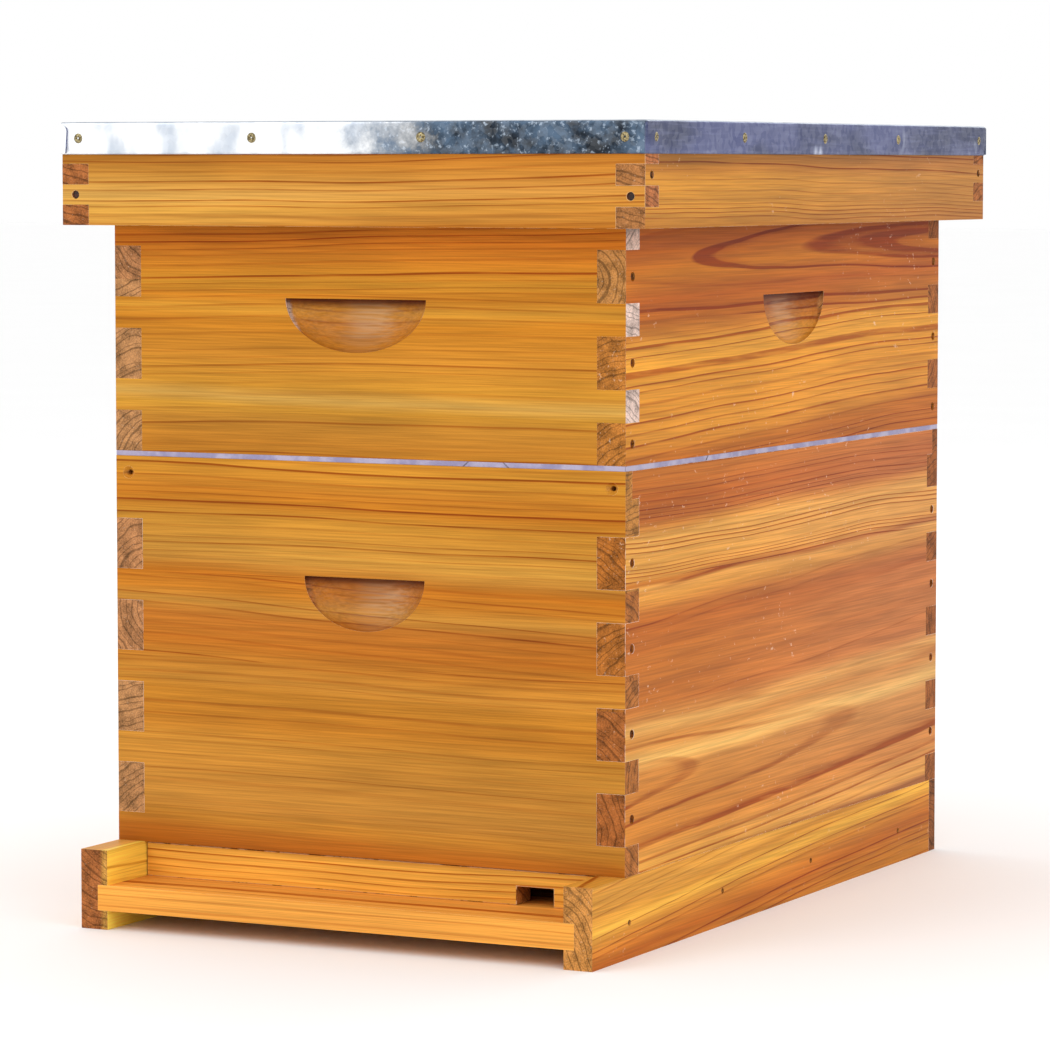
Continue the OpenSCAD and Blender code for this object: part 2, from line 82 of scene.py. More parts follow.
class Shader:
    """Adds nodes to a node tree, and links or sets their inputs."""

    def __init__(self, tree):
        self.tree = tree

    def node(self, kind, inputs=(), **settings):
        made = self.tree.nodes.new(kind)
        for name, value in settings.items():
            setattr(made, name, value)
        for key, value in dict(inputs).items():
            self.put(made.inputs[key], value)
        return made

    def put(self, socket, value):
        if isinstance(value, bpy.types.NodeSocket):
            self.tree.links.new(value, socket)
        else:
            socket.default_value = value

    def math(self, operation, a, b=0.0, clamp=False):
        """One number, worked out from two."""
        made = self.node("ShaderNodeMath", {0: a, 1: b}, operation=operation, use_clamp=clamp)
        return made.outputs[0]

    add = partialmethod(math, "ADD")
    minus = partialmethod(math, "SUBTRACT")
    mul = partialmethod(math, "MULTIPLY")
    over = partialmethod(math, "DIVIDE")
    absolute = partialmethod(math, "ABSOLUTE")
    # 1 where a value is above or below another, and 0 elsewhere
    above = partialmethod(math, "GREATER_THAN")
    below = partialmethod(math, "LESS_THAN")

    def away(self, a, place):
        """How far a is from a place, on either side."""
        return self.absolute(self.minus(a, place))

    def parts(self, vector):
        """The three parts of a vector."""
        return self.node("ShaderNodeSeparateXYZ", {0: vector}).outputs

    def spread(self, value, out_low=0.0, out_high=1.0):
        """A noise's usual range of values, turned into another range."""
        return self.between(value, NOISE_LOW, NOISE_HIGH, out_low, out_high)

    def between(self, value, low, high, out_low=0.0, out_high=1.0):
        """How far a value is from low to high, turned smoothly into another range."""
        made = self.node("ShaderNodeMapRange", {"Value": value, "From Min": low, "From Max": high,
                                                "To Min": out_low, "To Max": out_high},
                         interpolation_type="SMOOTHSTEP")
        return made.outputs["Result"]

    def vector(self, operation, a, b=(0, 0, 0)):
        made = self.node("ShaderNodeVectorMath", {0: a, 1: b}, operation=operation)
        return made.outputs["Value" if operation in ("DOT_PRODUCT", "LENGTH") else "Vector"]

    def noise(self, coord, scale=1.0, detail=2.0, roughness=0.5, stretch=None):
        """Noise in space. stretch is its own scale in each direction."""
        if stretch:
            coord = self.vector("MULTIPLY", coord, stretch)
        made = self.node("ShaderNodeTexNoise", {"Vector": coord, "Scale": scale, "Detail": detail,
                                                "Roughness": roughness})
        return made.outputs["Fac"]

    def noise_along(self, value, scale, detail=1.0):
        """Noise along one value, such as a distance."""
        made = self.node("ShaderNodeTexNoise", {"W": value, "Scale": scale, "Detail": detail},
                         noise_dimensions="1D")
        return made.outputs["Fac"]

    def mix(self, factor, a, b, blend="MIX"):
        made = self.node("ShaderNodeMix", {0: factor, 6: a, 7: b}, data_type="RGBA", blend_type=blend)
        return made.outputs[2]

    def mix_vector(self, factor, a, b):
        made = self.node("ShaderNodeMix", {0: factor, 4: a, 5: b}, data_type="VECTOR")
        return made.outputs[1]

    def shift(self, coord, scale, amount):
        """A small random shift of a place."""
        made = self.node("ShaderNodeTexNoise", {"Vector": coord, "Scale": scale, "Detail": 1.0})
        return self.vector("MULTIPLY", made.outputs["Color"], (amount, amount, amount))

    def crystals(self, coord, scale):
        """A random value for each cell of a grid of irregular cells."""
        cells = self.node("ShaderNodeTexVoronoi", {"Vector": coord, "Scale": scale}).outputs["Color"]
        return self.node("ShaderNodeSeparateColor", {0: cells}).outputs[0]

    def times(self, a, b):
        """Two colours multiplied."""
        return self.mix(1.0, a, b, "MULTIPLY")

    def grey(self, value):
        """A grey of a given brightness."""
        return self.node("ShaderNodeCombineColor", {0: value, 1: value, 2: value}).outputs[0]

    def ramp(self, value, stops):
        """A curve through (place, level) stops, from 0 to 1."""
        made = self.node("ShaderNodeValToRGB", {"Fac": value})
        points = made.color_ramp.elements
        while len(points) < len(stops):
            points.new(0.5)
        for point, (place, level) in zip(points, stops):
            point.position = place
            point.color = (level, level, level, 1)
        return made.outputs["Color"]

    def bump(self, height, strength, distance):
        made = self.node("ShaderNodeBump", {"Height": height, "Strength": strength, "Distance": distance})
        return made.outputs["Normal"]


def new_material(name):
    """A material with a Principled shader, as (material, Shader, principled)."""
    material = bpy.data.materials.new(name)
    material.use_nodes = True
    shader = Shader(material.node_tree)
    return material, shader, material.node_tree.nodes["Principled BSDF"]


# ---------------------------------------------------------------- wood

# How far the edges of the tone zones wander
ZONE_WANDER_BY = 14 * MM
# Specular level of the waxed wood, and how softly the sapwood starts, in mm
SHEEN, SAP_BLEND = 0.06, 4
# The washes grow between these places along a board
WASH_REACH = -220 * MM, 240 * MM
# A handhold's half length, half height and depth, with some room
RECESS_REACH, RECESS_HALF, RECESS_DEPTH = 54 * MM, 17.5 * MM, 14 * MM
# Its cut surface: a painted shade tint, its smoothness and the fibres of its painted highlight, and the
# painted shade under its ledge, which is so many mm high
RECESS_SHADE_TINT, CUT_GLOSS, CUT_FIBRES = "ece4dc", 0.14, (20, 700, 700)
SHADE_TINT, SHADE_DROP = "7c5030", 8
# Its painted pale highlight: how far in mm it is off the middle, where it starts and stops to fade, and its
# strength
PALE_OFFSET, PALE_REACH, PALE_HIGHLIGHT_STRENGTH, PALE_HIGHLIGHT_COLOR = 6, (3 * MM, 26 * MM), 0.34, "e0cba8"
# Pale dust, and the spots along waxed edges
DUST, DUST_PATCHES, DUST_COLOR = (150, 300, 260), (9, 9, 16), "f0d2b4"
EDGE_SPOTS = (70, 70, 70)
WOOD_INPUTS = (
    ("Coord", "Vector", None), ("Normal", "Vector", None), ("Log", "Vector", (0, 0.03, 0)),
    ("Tilt", "Vector", (0, 0, 0)), ("Seed", "Float", 0.0), ("Ring", "Float", 0.005),
    ("Base", "Color", rgb("d9933f")), ("Late", "Color", rgb("be9064")), ("Heart", "Color", rgb("e8d2b8")),
    ("Band", "Float", 0.3), ("Line", "Float", 0.6), ("End", "Color", rgb("a06a3c")),
    ("End Log", "Vector", (0, 0.03, 0)),
)
WOOD_OUTPUTS = (("Color", "Color"), ("Height", "Float"), ("Gloss", "Float"))
# Darkness across one growth ring, from its inner to its outer edge
RING_PROFILE = ((0.0, 0.0), (0.5, 0.05), (0.74, 0.24), (0.84, 1.0), (0.93, 0.95), (1.0, 0.0))
# Scales of the grain's noises, per metre: (along the grain, through the board, across it)
WANDER, RIPPLE, BROKEN = (2.2, 7, 7), (9, 40, 40), (16, 300, 300)
FIBRE, STREAK, DRIFT = (16, 1500, 1000), (3.5, 300, 230), (6, 16, 16)
PORES, BLOTCHES, SCRAPES = (300, 1100, 1100), (60, 130, 130), (90, 420, 700)
# How far the rings wander and ripple
WANDER_BY, RIPPLE_BY = 22 * MM, 1.6 * MM
# End grain: its ring width, how far its rings wander, and the colour of scraped wood
END_RING, END_WANDER_BY, SCRAPED_WOOD = 4.2 * MM, 8 * MM, "e6cdb2"


def wood_group():
    """Solid wood grain round a log's axis. Coord is (along the grain, through the board, across it)."""
    group = bpy.data.node_groups.new("wood", "ShaderNodeTree")
    for name, kind, value in WOOD_INPUTS:
        socket = group.interface.new_socket(name, in_out="INPUT", socket_type="NodeSocket" + kind)
        if value is not None:
            socket.default_value = value
    for name, kind in WOOD_OUTPUTS:
        group.interface.new_socket(name, in_out="OUTPUT", socket_type="NodeSocket" + kind)
    s = Shader(group)
    given = s.node("NodeGroupInput").outputs
    offset = s.node("ShaderNodeCombineXYZ", {i: given["Seed"] for i in range(3)}).outputs[0]
    place = s.vector("ADD", given["Coord"], offset)

    # Place in the log: the axis is off to one side and leans, and the rings wander along the board
    split = s.parts(given["Coord"])
    lean = s.parts(given["Tilt"])
    axis = s.parts(given["Log"])
    wander = s.minus(s.noise(place, detail=2, stretch=WANDER), 0.5)
    ripple = s.minus(s.noise(place, detail=2, stretch=RIPPLE), 0.5)
    through = s.minus(s.minus(split[1], axis[1]), s.mul(split[0], lean[1]))
    across = s.minus(s.minus(split[2], axis[2]), s.mul(split[0], lean[2]))
    across = s.add(across, s.mul(wander, WANDER_BY))
    radius = s.math("SQRT", s.add(s.mul(through, through), s.mul(across, across)))
    radius = s.add(radius, s.mul(ripple, RIPPLE_BY))
    seeded = s.add(radius, s.mul(given["Seed"], 0.37))

    # Rings of uneven width, each with a soft inner and a sharp outer edge, some stronger than others
    uneven = s.mul(s.noise_along(seeded, 42, 2), 3.2)
    phase = s.add(s.over(radius, given["Ring"]), uneven)
    ring = s.ramp(s.math("FRACT", phase), RING_PROFILE)
    chance = s.node("ShaderNodeTexWhiteNoise", {"W": s.math("FLOOR", phase)}, noise_dimensions="1D")
    weight = s.between(chance.outputs["Value"], 0.0, 1.0, 0.3, 1.6)
    broken = s.between(s.noise(place, detail=3, stretch=BROKEN), 0.3, 0.6, 0.55, 1.0)
    line = s.mul(s.mul(ring, weight), s.mul(given["Line"], broken), clamp=True)

    # Broad bands of heartwood, fibres, and slow drifts of tone
    band = s.between(s.noise_along(seeded, 26, 1), 0.42, 0.62)
    fibre = s.noise(place, detail=3, stretch=FIBRE)
    streak = s.noise(place, detail=3, stretch=STREAK)
    drift = s.noise(place, detail=2, stretch=DRIFT)
    color = s.mix(s.mul(band, given["Band"]), given["Base"], s.times(given["Base"], given["Heart"]))
    color = s.mix(line, color, s.times(color, given["Late"]))
    tone = s.add(s.spread(fibre, 0.87, 1.14), s.spread(streak, -0.1, 0.09))
    face = s.times(color, s.grey(s.mul(tone, s.spread(drift, 0.92, 1.1))))

    # End grain shows its rings closely, with pores and pale scraped spots
    facing = s.absolute(s.parts(given["Normal"])[0])
    end = s.between(facing, 0.55, 0.8)
    pores = s.noise(place, detail=3, stretch=PORES)
    blotch = s.noise(place, detail=3, stretch=BLOTCHES)
    from_pith = s.vector("MULTIPLY", s.vector("SUBTRACT", given["Coord"], given["End Log"]), (0, 1, 1))
    arcs = s.add(s.vector("LENGTH", from_pith), s.mul(s.noise(place, 55.0, 2), END_WANDER_BY))
    close_phase = s.add(s.over(arcs, END_RING), s.mul(s.noise_along(arcs, 90, 2), 2.5))
    close = s.ramp(s.math("FRACT", close_phase), RING_PROFILE)
    end_tone = s.add(s.spread(pores, 0.7, 1.22), s.spread(blotch, -0.3, 0.3))
    end_tone = s.mul(end_tone, s.between(close, 0.1, 0.9, 1.08, 0.56))
    scraped = s.between(s.noise(place, detail=4, roughness=0.7, stretch=SCRAPES), 0.6, 0.72, 0.0, 0.32)
    end_color = s.mix(scraped, s.times(given["End"], s.grey(end_tone)), rgb(SCRAPED_WOOD))
    out = s.node("NodeGroupOutput")
    s.put(out.inputs["Color"], s.mix(end, face, end_color))
    relief = s.minus(s.mul(fibre, 0.5), s.mul(line, 0.35))
    s.put(out.inputs["Height"], s.mix(end, relief, pores))
    s.put(out.inputs["Gloss"], s.add(s.mul(streak, 0.12), s.mul(end, 0.12)))
    return group


WOOD = wood_group()


def swizzle(s, vector, axes):
    """Reorders a vector's parts: axes names what comes first, second and third, such as "yxz"."""
    parts = s.parts(vector)
    return s.node("ShaderNodeCombineXYZ", {i: parts["xyz".index(a)] for i, a in enumerate(axes)}).outputs[0]


def plank(log, tilt=(0, 0), ring=5, base="d9933f", band=0.3, line=0.6, end="a06a3c", pith=None, seed=0.0):
    """Settings of one plank. log is its log's axis (through, across) and ring the ring width, in mm. pith is
    where the rings of its end grain centre, if not on the log."""
    pith = pith or log
    return {"Log": (0, log[0] * MM, log[1] * MM), "Tilt": (0, *tilt), "Seed": seed, "Ring": ring * MM,
            "Base": rgb(base), "Band": band, "Line": line, "End": rgb(end),
            "End Log": (0, pith[0] * MM, pith[1] * MM)}


def zone_tones(s, coord, low, lean, zones, gain):
    """Broad tones across a board, as (colour, line strength). zones is [(place in mm above low, colour,
    line strength), ...], and the zones climb by lean along the board."""
    along, _, across = s.parts(coord)
    wander = s.minus(s.noise(coord, detail=2, stretch=(4, 9, 9)), 0.5)
    place = s.minus(s.minus(across, low * MM), s.mul(along, lean))
    place = s.add(place, s.mul(wander, ZONE_WANDER_BY))
    height = zones[-1][0]
    ramp = s.node("ShaderNodeValToRGB", {"Fac": s.over(place, height * MM)})
    points = ramp.color_ramp.elements
    for _ in zones[2:]:
        points.new(1.0)
    for point, (at, color, line) in zip(points, zones):
        point.position = at / height
        point.color = rgb(color, line, gain)
    return ramp.outputs["Color"], ramp.outputs["Alpha"]


def flipped(zones):
    """The same tones from high to low."""
    height = zones[-1][0]
    return [(height - at, color, line) for at, color, line in reversed(zones)]


def recess_marks(s, coord, face, sign, middle, ledge):
    """Whether a place is inside a handhold, how close it is under its ledge where painted shade lies, and
    how strong the painted pale highlight on it is, all from 0 to 1. face is where the board's face is, sign
    the way it looks, middle the handhold's middle along the board and ledge the height of its top, in mm."""
    along, through, across = s.parts(coord)
    depth = s.mul(s.minus(face * MM, through), sign)
    near = s.below(s.away(along, middle * MM), RECESS_REACH)
    below = s.below(s.away(across, ledge * MM - RECESS_HALF), RECESS_HALF)
    shallow = s.below(depth, RECESS_DEPTH)
    inside = s.mul(s.mul(near, below), shallow)
    inside = s.mul(s.between(depth, 0.1 * MM, 0.8 * MM), inside)
    under = s.mul(s.between(across, (ledge - SHADE_DROP) * MM, ledge * MM), inside)
    out = s.away(along, (middle + PALE_OFFSET) * MM)
    painted_highlight = s.mul(s.between(out, *PALE_REACH, 1.0, 0.2),
                 s.between(across, (ledge - 31) * MM, (ledge - 14) * MM, 0.25, 1.0))
    fibres = s.spread(s.noise(coord, detail=3, stretch=CUT_FIBRES), 0.3, 1.0)
    return inside, under, s.mul(s.mul(painted_highlight, fibres), PALE_HIGHLIGHT_STRENGTH)


def wood(name, axes, planks, zones=None, wash=None, recess=None, sap=None, turned=None, edge=None,
         scuffs=0.0, roughness=0.42, coat=0.03):
    """Waxed wood. planks is [(lowest place across the board in mm or None, settings), ...] from low to high.
    zones is (low, lean, tones, gain) of zone_tones, and wash a (colour, strength) growing along the board.
    recess is (face, sign, middle, ledge) of recess_marks. sap is the (place through the board in mm, colour
    factor) where yellow sapwood starts. turned is (middle, half, low, high, axes): further than half from
    the middle and between low and high across, in mm, the piece is made of crosswise parts, whose grain has
    its own axes. edge is the two colours of an eased edge, and scuffs the strength of pale dust."""
    material, s, principled = new_material(name)
    tex = s.node("ShaderNodeTexCoord").outputs
    coord = swizzle(s, tex["Object"], axes)
    normal = swizzle(s, tex["Normal"], axes)
    along, through, across = s.parts(coord)
    if zones:
        base, strength = zone_tones(s, coord, *zones)
        if wash:
            base = s.mix(s.between(along, *WASH_REACH, 0.0, wash[1]), base, rgb(wash[0]))
    if turned:
        middle, half, low, high, cross = turned
        far = s.above(s.away(along, middle * MM), half * MM)
        inside = s.mul(s.above(across, low * MM), s.below(across, high * MM))
        crosswise = s.mul(far, inside)
        coord = s.mix_vector(crosswise, coord, swizzle(s, tex["Object"], cross))
        normal = s.mix_vector(crosswise, normal, swizzle(s, tex["Normal"], cross))
    color = height = gloss = None
    for start, settings in planks:
        made = s.node("ShaderNodeGroup", node_tree=WOOD)
        for key, value in {"Coord": coord, "Normal": normal, **settings}.items():
            s.put(made.inputs[key], value)
        if zones:
            s.put(made.inputs["Base"], base)
            s.put(made.inputs["Line"], s.mul(strength, settings["Line"]))
        if color is None:
            color, height, gloss = made.outputs
        else:
            above = s.above(across, start * MM)
            color = s.mix(above, color, made.outputs[0])
            height = s.mix(above, height, made.outputs[1])
            gloss = s.mix(above, gloss, made.outputs[2])
    if sap:
        started = s.between(through, sap[0] * MM, (sap[0] + SAP_BLEND) * MM)
        color = s.mix(started, color, s.times(color, sap[1]))
    if recess:
        inside, under, painted_highlight = recess_marks(s, coord, *recess)
        # Painted shade darkens the whole handhold, a painted pale highlight lies on its middle, and more
        # painted shade lies under its ledge
        color = s.mix(inside, color, s.times(color, rgb(RECESS_SHADE_TINT)))
        color = s.mix(s.mul(inside, painted_highlight), color, rgb(PALE_HIGHLIGHT_COLOR))
        color = s.mix(under, color, s.times(color, rgb(SHADE_TINT)))
        gloss = s.minus(gloss, s.mul(inside, CUT_GLOSS))
    if scuffs:
        dust = s.between(s.noise(coord, detail=4, roughness=0.7, stretch=DUST), 0.63, 0.72)
        where = s.between(s.noise(coord, detail=1, stretch=DUST_PATCHES), 0.46, 0.62, 0.0, scuffs)
        color = s.mix(s.mul(dust, where), color, rgb(DUST_COLOR))
    if edge:
        # Eased edges mix wax-dark wood with pale wood that is partly real wax and partly a painted highlight
        spots = s.noise(coord, detail=4, roughness=0.65, stretch=EDGE_SPOTS)
        color = s.mix(s.between(spots, 0.38, 0.5), rgb(edge[0]), rgb(edge[1]))
    s.put(principled.inputs["Base Color"], color)
    s.put(principled.inputs["Roughness"], s.add(gloss, roughness))
    principled.inputs["Specular IOR Level"].default_value = SHEEN
    principled.inputs["Coat Weight"].default_value = coat
    principled.inputs["Coat Roughness"].default_value = 0.25
    s.put(principled.inputs["Normal"], s.bump(height, 0.35, 0.4 * MM))
    return material


def edged_wood(name, axes, planks, edge, recess=None, **look):
    """The wood of a board, and the waxed wood of its eased edges."""
    return [wood(name, axes, planks, recess=recess, **look),
            wood(name + "_edge", axes, planks[:1], edge=edge, **look)]


# ---------------------------------------------------------------- metals and wax

def metal(name, base, dark, roughness=0.35, blotch=60, metallic=1.0, grit=900, low=0.4, high=0.6):
    """Bare metal, mottled between two tones."""
    material, s, principled = new_material(name)
    coord = s.node("ShaderNodeTexCoord").outputs["Object"]
    mottle = s.noise(coord, blotch, 4, 0.6)
    fine = s.noise(coord, grit, 2)
    s.put(principled.inputs["Base Color"], s.mix(s.between(mottle, low, high), rgb(dark), rgb(base)))
    s.put(principled.inputs["Roughness"], s.between(fine, 0.2, 0.8, roughness - 0.08, roughness + 0.12))
    s.put(principled.inputs["Normal"], s.bump(fine, 0.15, 0.2 * MM))
    principled.inputs["Metallic"].default_value = metallic
    return material


def galvanised(name, width, splashes):
    """Zinc-coated sheet. Its ends carry a painted reflection, bright at the front's left and dark and cloudy
    at its right with painted glints; its sides are lilac grey with painted highlight streaks; its top is a
    flat pale spangle. splashes are (place, reach) of painted pale reflections."""
    material, s, principled = new_material(name)
    tex = s.node("ShaderNodeTexCoord").outputs
    coord = tex["Object"]
    parts = s.parts(coord)
    normal = s.parts(tex["Normal"])
    across = s.over(parts[0], width)
    clouds = s.noise(coord, 34, 5, 0.7)
    grain = s.crystals(coord, 260.0)
    speckle = s.noise(coord, 300, 3, 0.65)
    reflection_patches = s.noise(coord, detail=3, stretch=(45, 45, 22))
    highlight_streaks = s.noise(coord, detail=2, stretch=(400, 30, 400))
    broad = s.noise(coord, detail=2, stretch=(12, 12, 30))

    # The ends carry a painted reflection that darkens from left to right in clouds, with painted glints
    dark_reflection = s.between(s.add(across, s.mul(s.minus(clouds, 0.5), 0.4)), -0.03, 0.16)
    end_color = s.mix(s.between(clouds, 0.36, 0.64), rgb("0a121c"), rgb("566c84"))
    end_color = s.mix(s.mul(s.between(speckle, 0.55, 0.68), 0.5), end_color, rgb("c0d0e2"))
    bright_reflection = s.mix(s.between(reflection_patches, 0.36, 0.56), rgb("ccd4df"), rgb("fbfdff"))
    end_color = s.mix(dark_reflection, bright_reflection, end_color)

    # The sides are lilac in broad streaks, with painted highlight streaks, and the top is spangled and
    # lightly scratched
    side_color = s.mix(s.between(broad, 0.35, 0.65), rgb("30375c"), rgb("545a86"))
    side_color = s.mix(s.mul(s.between(highlight_streaks, 0.45, 0.7), 0.2), side_color, rgb("8a90b8"))
    spangle = s.crystals(s.vector("ADD", coord, s.shift(coord, 60.0, 10 * MM)), 90.0)
    top_color = s.mix(s.between(spangle, 0.0, 1.0), rgb("97a1af"), rgb("b4bcc8"))
    top_color = s.mix(s.mul(s.between(clouds, 0.45, 0.7), 0.4), top_color, rgb("d6dce6"))
    scratch = s.noise(coord, detail=2, stretch=(9, 700, 9))
    top_color = s.mix(s.between(scratch, 0.66, 0.72, 0.0, 0.35), top_color, rgb("eef2f8"))

    color = s.mix(s.between(s.absolute(normal[0]), 0.6, 0.8), end_color, side_color)
    # Painted pale reflections round the splashes
    for place, reach in splashes:
        away = s.vector("LENGTH", s.vector("SUBTRACT", coord, tuple(place)))
        painted_highlight = s.mul(s.between(away, reach * 0.4, reach, 0.7, 0.0), s.between(reflection_patches, 0.46, 0.58))
        color = s.mix(painted_highlight, color, rgb("d3d9ee"))
    color = s.mix(s.between(normal[2], 0.6, 0.8), color, top_color)
    color = s.mix(0.06, color, s.mix(s.between(grain, 0.2, 0.8), rgb("59636f"), rgb("eef3f8")))
    s.put(principled.inputs["Base Color"], color)
    principled.inputs["Metallic"].default_value = 0.75
    s.put(principled.inputs["Roughness"], s.spread(clouds, 0.3, 0.5))
    s.put(principled.inputs["Normal"], s.bump(s.add(s.mul(grain, 0.3), speckle), 0.2, 0.3 * MM))
    return material


def beeswax(name):
    """Foundation wax, with paler bloom and darker handled patches."""
    material, s, principled = new_material(name)
    coord = s.node("ShaderNodeTexCoord").outputs["Object"]
    bloom = s.noise(coord, 14, 4, 0.6)
    fine = s.noise(coord, 700, 2)
    s.put(principled.inputs["Base Color"], s.mix(s.between(bloom, 0.35, 0.65), rgb("dfa336"), rgb("ebbb50")))
    s.put(principled.inputs["Roughness"], s.spread(bloom, 0.38, 0.55))
    s.put(principled.inputs["Normal"], s.bump(fine, 0.12, 0.2 * MM))
    principled.inputs["Subsurface Weight"].default_value = 0.12
    principled.inputs["Subsurface Radius"].default_value = (3 * MM, 2 * MM, 1 * MM)
    return material


# ---------------------------------------------------------------- mesh helpers

# Points closer than this are one point
WELD = 0.002 * MM


def link_mesh(name, bm, materials, body, smooth=True):
    """Turns a bmesh into a piece that rides on a body and has the given materials."""
    mesh = bpy.data.meshes.new(name)
    bmesh.ops.recalc_face_normals(bm, faces=bm.faces)
    bm.to_mesh(mesh)
    bm.free()
    made = bpy.data.objects.new(name, mesh)
    bpy.context.scene.collection.objects.link(made)
    for material in materials:
        mesh.materials.append(material)
    if smooth:
        mesh.polygons.foreach_set("use_smooth", [True] * len(mesh.polygons))
    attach(made, body)
    return made


def ease_edges(obj, width, segments=1, angle=30):
    """Welds a CAD mesh's faces, joins its flat ones and rounds its edges. Rounded faces take material 1."""
    weld = obj.modifiers.new("weld", "WELD")
    weld.merge_threshold = WELD
    flat = obj.modifiers.new("flat", "DECIMATE")
    flat.decimate_type = "DISSOLVE"
    flat.angle_limit = math.radians(0.5)
    bevel = obj.modifiers.new("bevel", "BEVEL")
    bevel.width = width
    bevel.segments = segments
    bevel.limit_method = "ANGLE"
    bevel.angle_limit = math.radians(angle)
    bevel.material = 1 if len(obj.data.materials) > 1 else -1
    bevel.use_clamp_overlap = True
    bevel.harden_normals = False
    shade = obj.modifiers.new("normals", "WEIGHTED_NORMAL")
    shade.weight = 80
    shade.keep_sharp = False


def dress(node, materials, width=0.35 * MM, segments=1, angle=30):
    """Gives a CAD node its materials and eased edges."""
    obj = nodes[node]
    obj.data.materials.clear()
    for material in materials:
        obj.data.materials.append(material)
    if width:
        ease_edges(obj, width, segments, angle)


# ---------------------------------------------------------------- boards

# Colours of the waxed edges, as (wax-dark wood, pale wood that is partly real wax and partly a painted
# highlight)
EDGE_FRONT = ("8f5522", "eec896")
EDGE_SIDE = ("8a5228", "fff4e8")
EDGE_RAIL = ("7a4420", "dcb888")
EDGE_FLOOR = ("9a5a20", "f0cf9c")
BOX_EDGE, SMALL_EDGE = 0.8 * MM, 0.5 * MM
# How far the top of a handhold is below its board's top, and the inner sizes that the grain turns at, in mm
LEDGE_DROP, INNER_RIM_W, LUG_T = 71, 22, 9.5
# The colours' gain under this light, how the zones of the side boards climb, and how strongly a painted
# pinkish haze of reflected light washes them towards the rear
FRONT_GAIN = (0.9, 0.93, 0.68)
SIDE_GAIN = (0.95, 0.9, 0.5)
SIDE_LEAN = {"deep": 0.015, "medium": 0.035}
SIDE_REFLECTION_HAZE = {"deep": 0.2, "medium": 0.05}

# Tones across the boards from low to high, as (mm, colour, line strength)
DEEP_FRONT = [
    (0, "b06420", 1.0), (6, "c27328", 0.9), (16, "ca8a3a", 0.6), (24, "ca8c43", 0.5), (45, "c7863c", 0.5),
    (64, "c8873a", 0.6), (80, "c88230", 0.6), (96, "c6802f", 0.6), (104, "c88539", 0.6),
    (118, "c57e32", 0.7), (128, "bd6f27", 0.9), (144, "c17530", 0.9), (152, "cb8d42", 0.5),
    (160, "c67a2a", 0.7), (170, "c27324", 0.9), (177, "c6873e", 0.6), (184, "cf9446", 0.5),
    (204, "cb8b38", 0.9), (216, "c77b27", 1.0), (224, "c97f2d", 1.0), (236, "cb8934", 0.8),
    (244.5, "cb8632", 0.9)]
MEDIUM_FRONT = [
    (0, "ca8230", 0.7), (18, "cd8c3b", 0.7), (28, "ce9139", 0.6), (34, "d4a058", 0.3), (42, "cf8e36", 0.6),
    (60, "cc8633", 0.7), (82, "cb8129", 0.9), (90, "cf9039", 0.5), (98, "cd822a", 0.7), (106, "ce8b31", 0.6),
    (114, "cf842c", 0.9), (124, "d07e2a", 0.9), (134, "d07826", 0.9), (168.3, "d27c28", 0.8)]
DEEP_SIDE = [
    (0, "b06a30", 0.8), (5, "ecae62", 0.8), (13, "e2a05c", 0.8), (25, "d78c46", 1.0), (40, "cc8647", 1.0),
    (52, "cf8b4e", 0.5), (64, "d09058", 0.4), (71, "f2c48e", 0.3), (78, "dca068", 0.6), (84, "d08c50", 0.8),
    (91, "ecb47c", 0.3), (98, "c8824c", 0.4), (104, "bf7139", 0.3), (128, "c17337", 0.3),
    (148, "c06f35", 0.3), (153, "b5662d", 0.9), (160, "c2773c", 0.5), (168, "e0a05a", 0.3),
    (174, "e4a86a", 0.3), (177, "b86a2a", 1.0), (181, "e0a05a", 0.9), (205, "e8ac6a", 1.0),
    (210, "d89452", 0.9), (216, "be6c34", 0.6), (230, "bd6a30", 0.6), (236, "c87638", 0.6),
    (244.5, "cc7c3c", 0.6)]
MEDIUM_SIDE = [
    (0, "b86a2c", 0.8), (10, "b86c2a", 0.8), (16, "c88238", 0.8), (23, "d49040", 0.9), (60, "e8a448", 1.0),
    (76, "e2a24c", 1.0), (82, "cc843c", 0.9), (90, "bc7030", 0.9), (104, "b66026", 1.0),
    (112, "c06e28", 1.0), (120, "cc7c2c", 0.8), (128, "c47026", 1.0), (138, "b05c1e", 1.0),
    (168.3, "ba6822", 0.8)]
COVER_FRONT = [
    (0, "c47a2e", 1.0), (6, "d2954a", 0.8), (14, "d49a4c", 0.9), (22, "dba35c", 0.7), (30, "d0934a", 0.9),
    (37, "c6863c", 1.0), (44, "b8762f", 1.0), (63.5, "c88838", 0.8)]
# The cover sides' dark band at 44 mm is partly a dark line and partly painted shadow under the metal skirt
COVER_SIDE = [
    (0, "b87838", 0.8), (6, "c48644", 0.9), (12, "d0944c", 1.0), (30, "cf9248", 1.0), (37, "b87a3e", 1.0),
    (44, "9a6634", 1.0), (63.5, "c88a48", 0.8)]
RAIL_SIDE = [
    (0, "c88038", 1.0), (14, "c06e2e", 1.0), (21, "d68a42", 0.9), (28, "e09c4c", 0.9), (35, "f2bc60", 0.7),
    (40, "e2a450", 1.0), (45, "d4964c", 1.1), (50, "dca256", 0.9)]


# Each box's zones, the seed of its hidden boards and the middle of its front handhold along the board, in mm
BOX_LOOKS = {"deep": (DEEP_FRONT, DEEP_SIDE, 21.0, 4.0), "medium": (MEDIUM_FRONT, MEDIUM_SIDE, 33.0, -5.7)}
SIDE_HANDHOLD_AT = 8


def board(node, axes, planks, edge, width=0.35 * MM, **look):
    """Gives a board waxed wood and eased edges."""
    dress(node, edged_wood(node + "_wood", axes, planks, edge, **look), width=width)


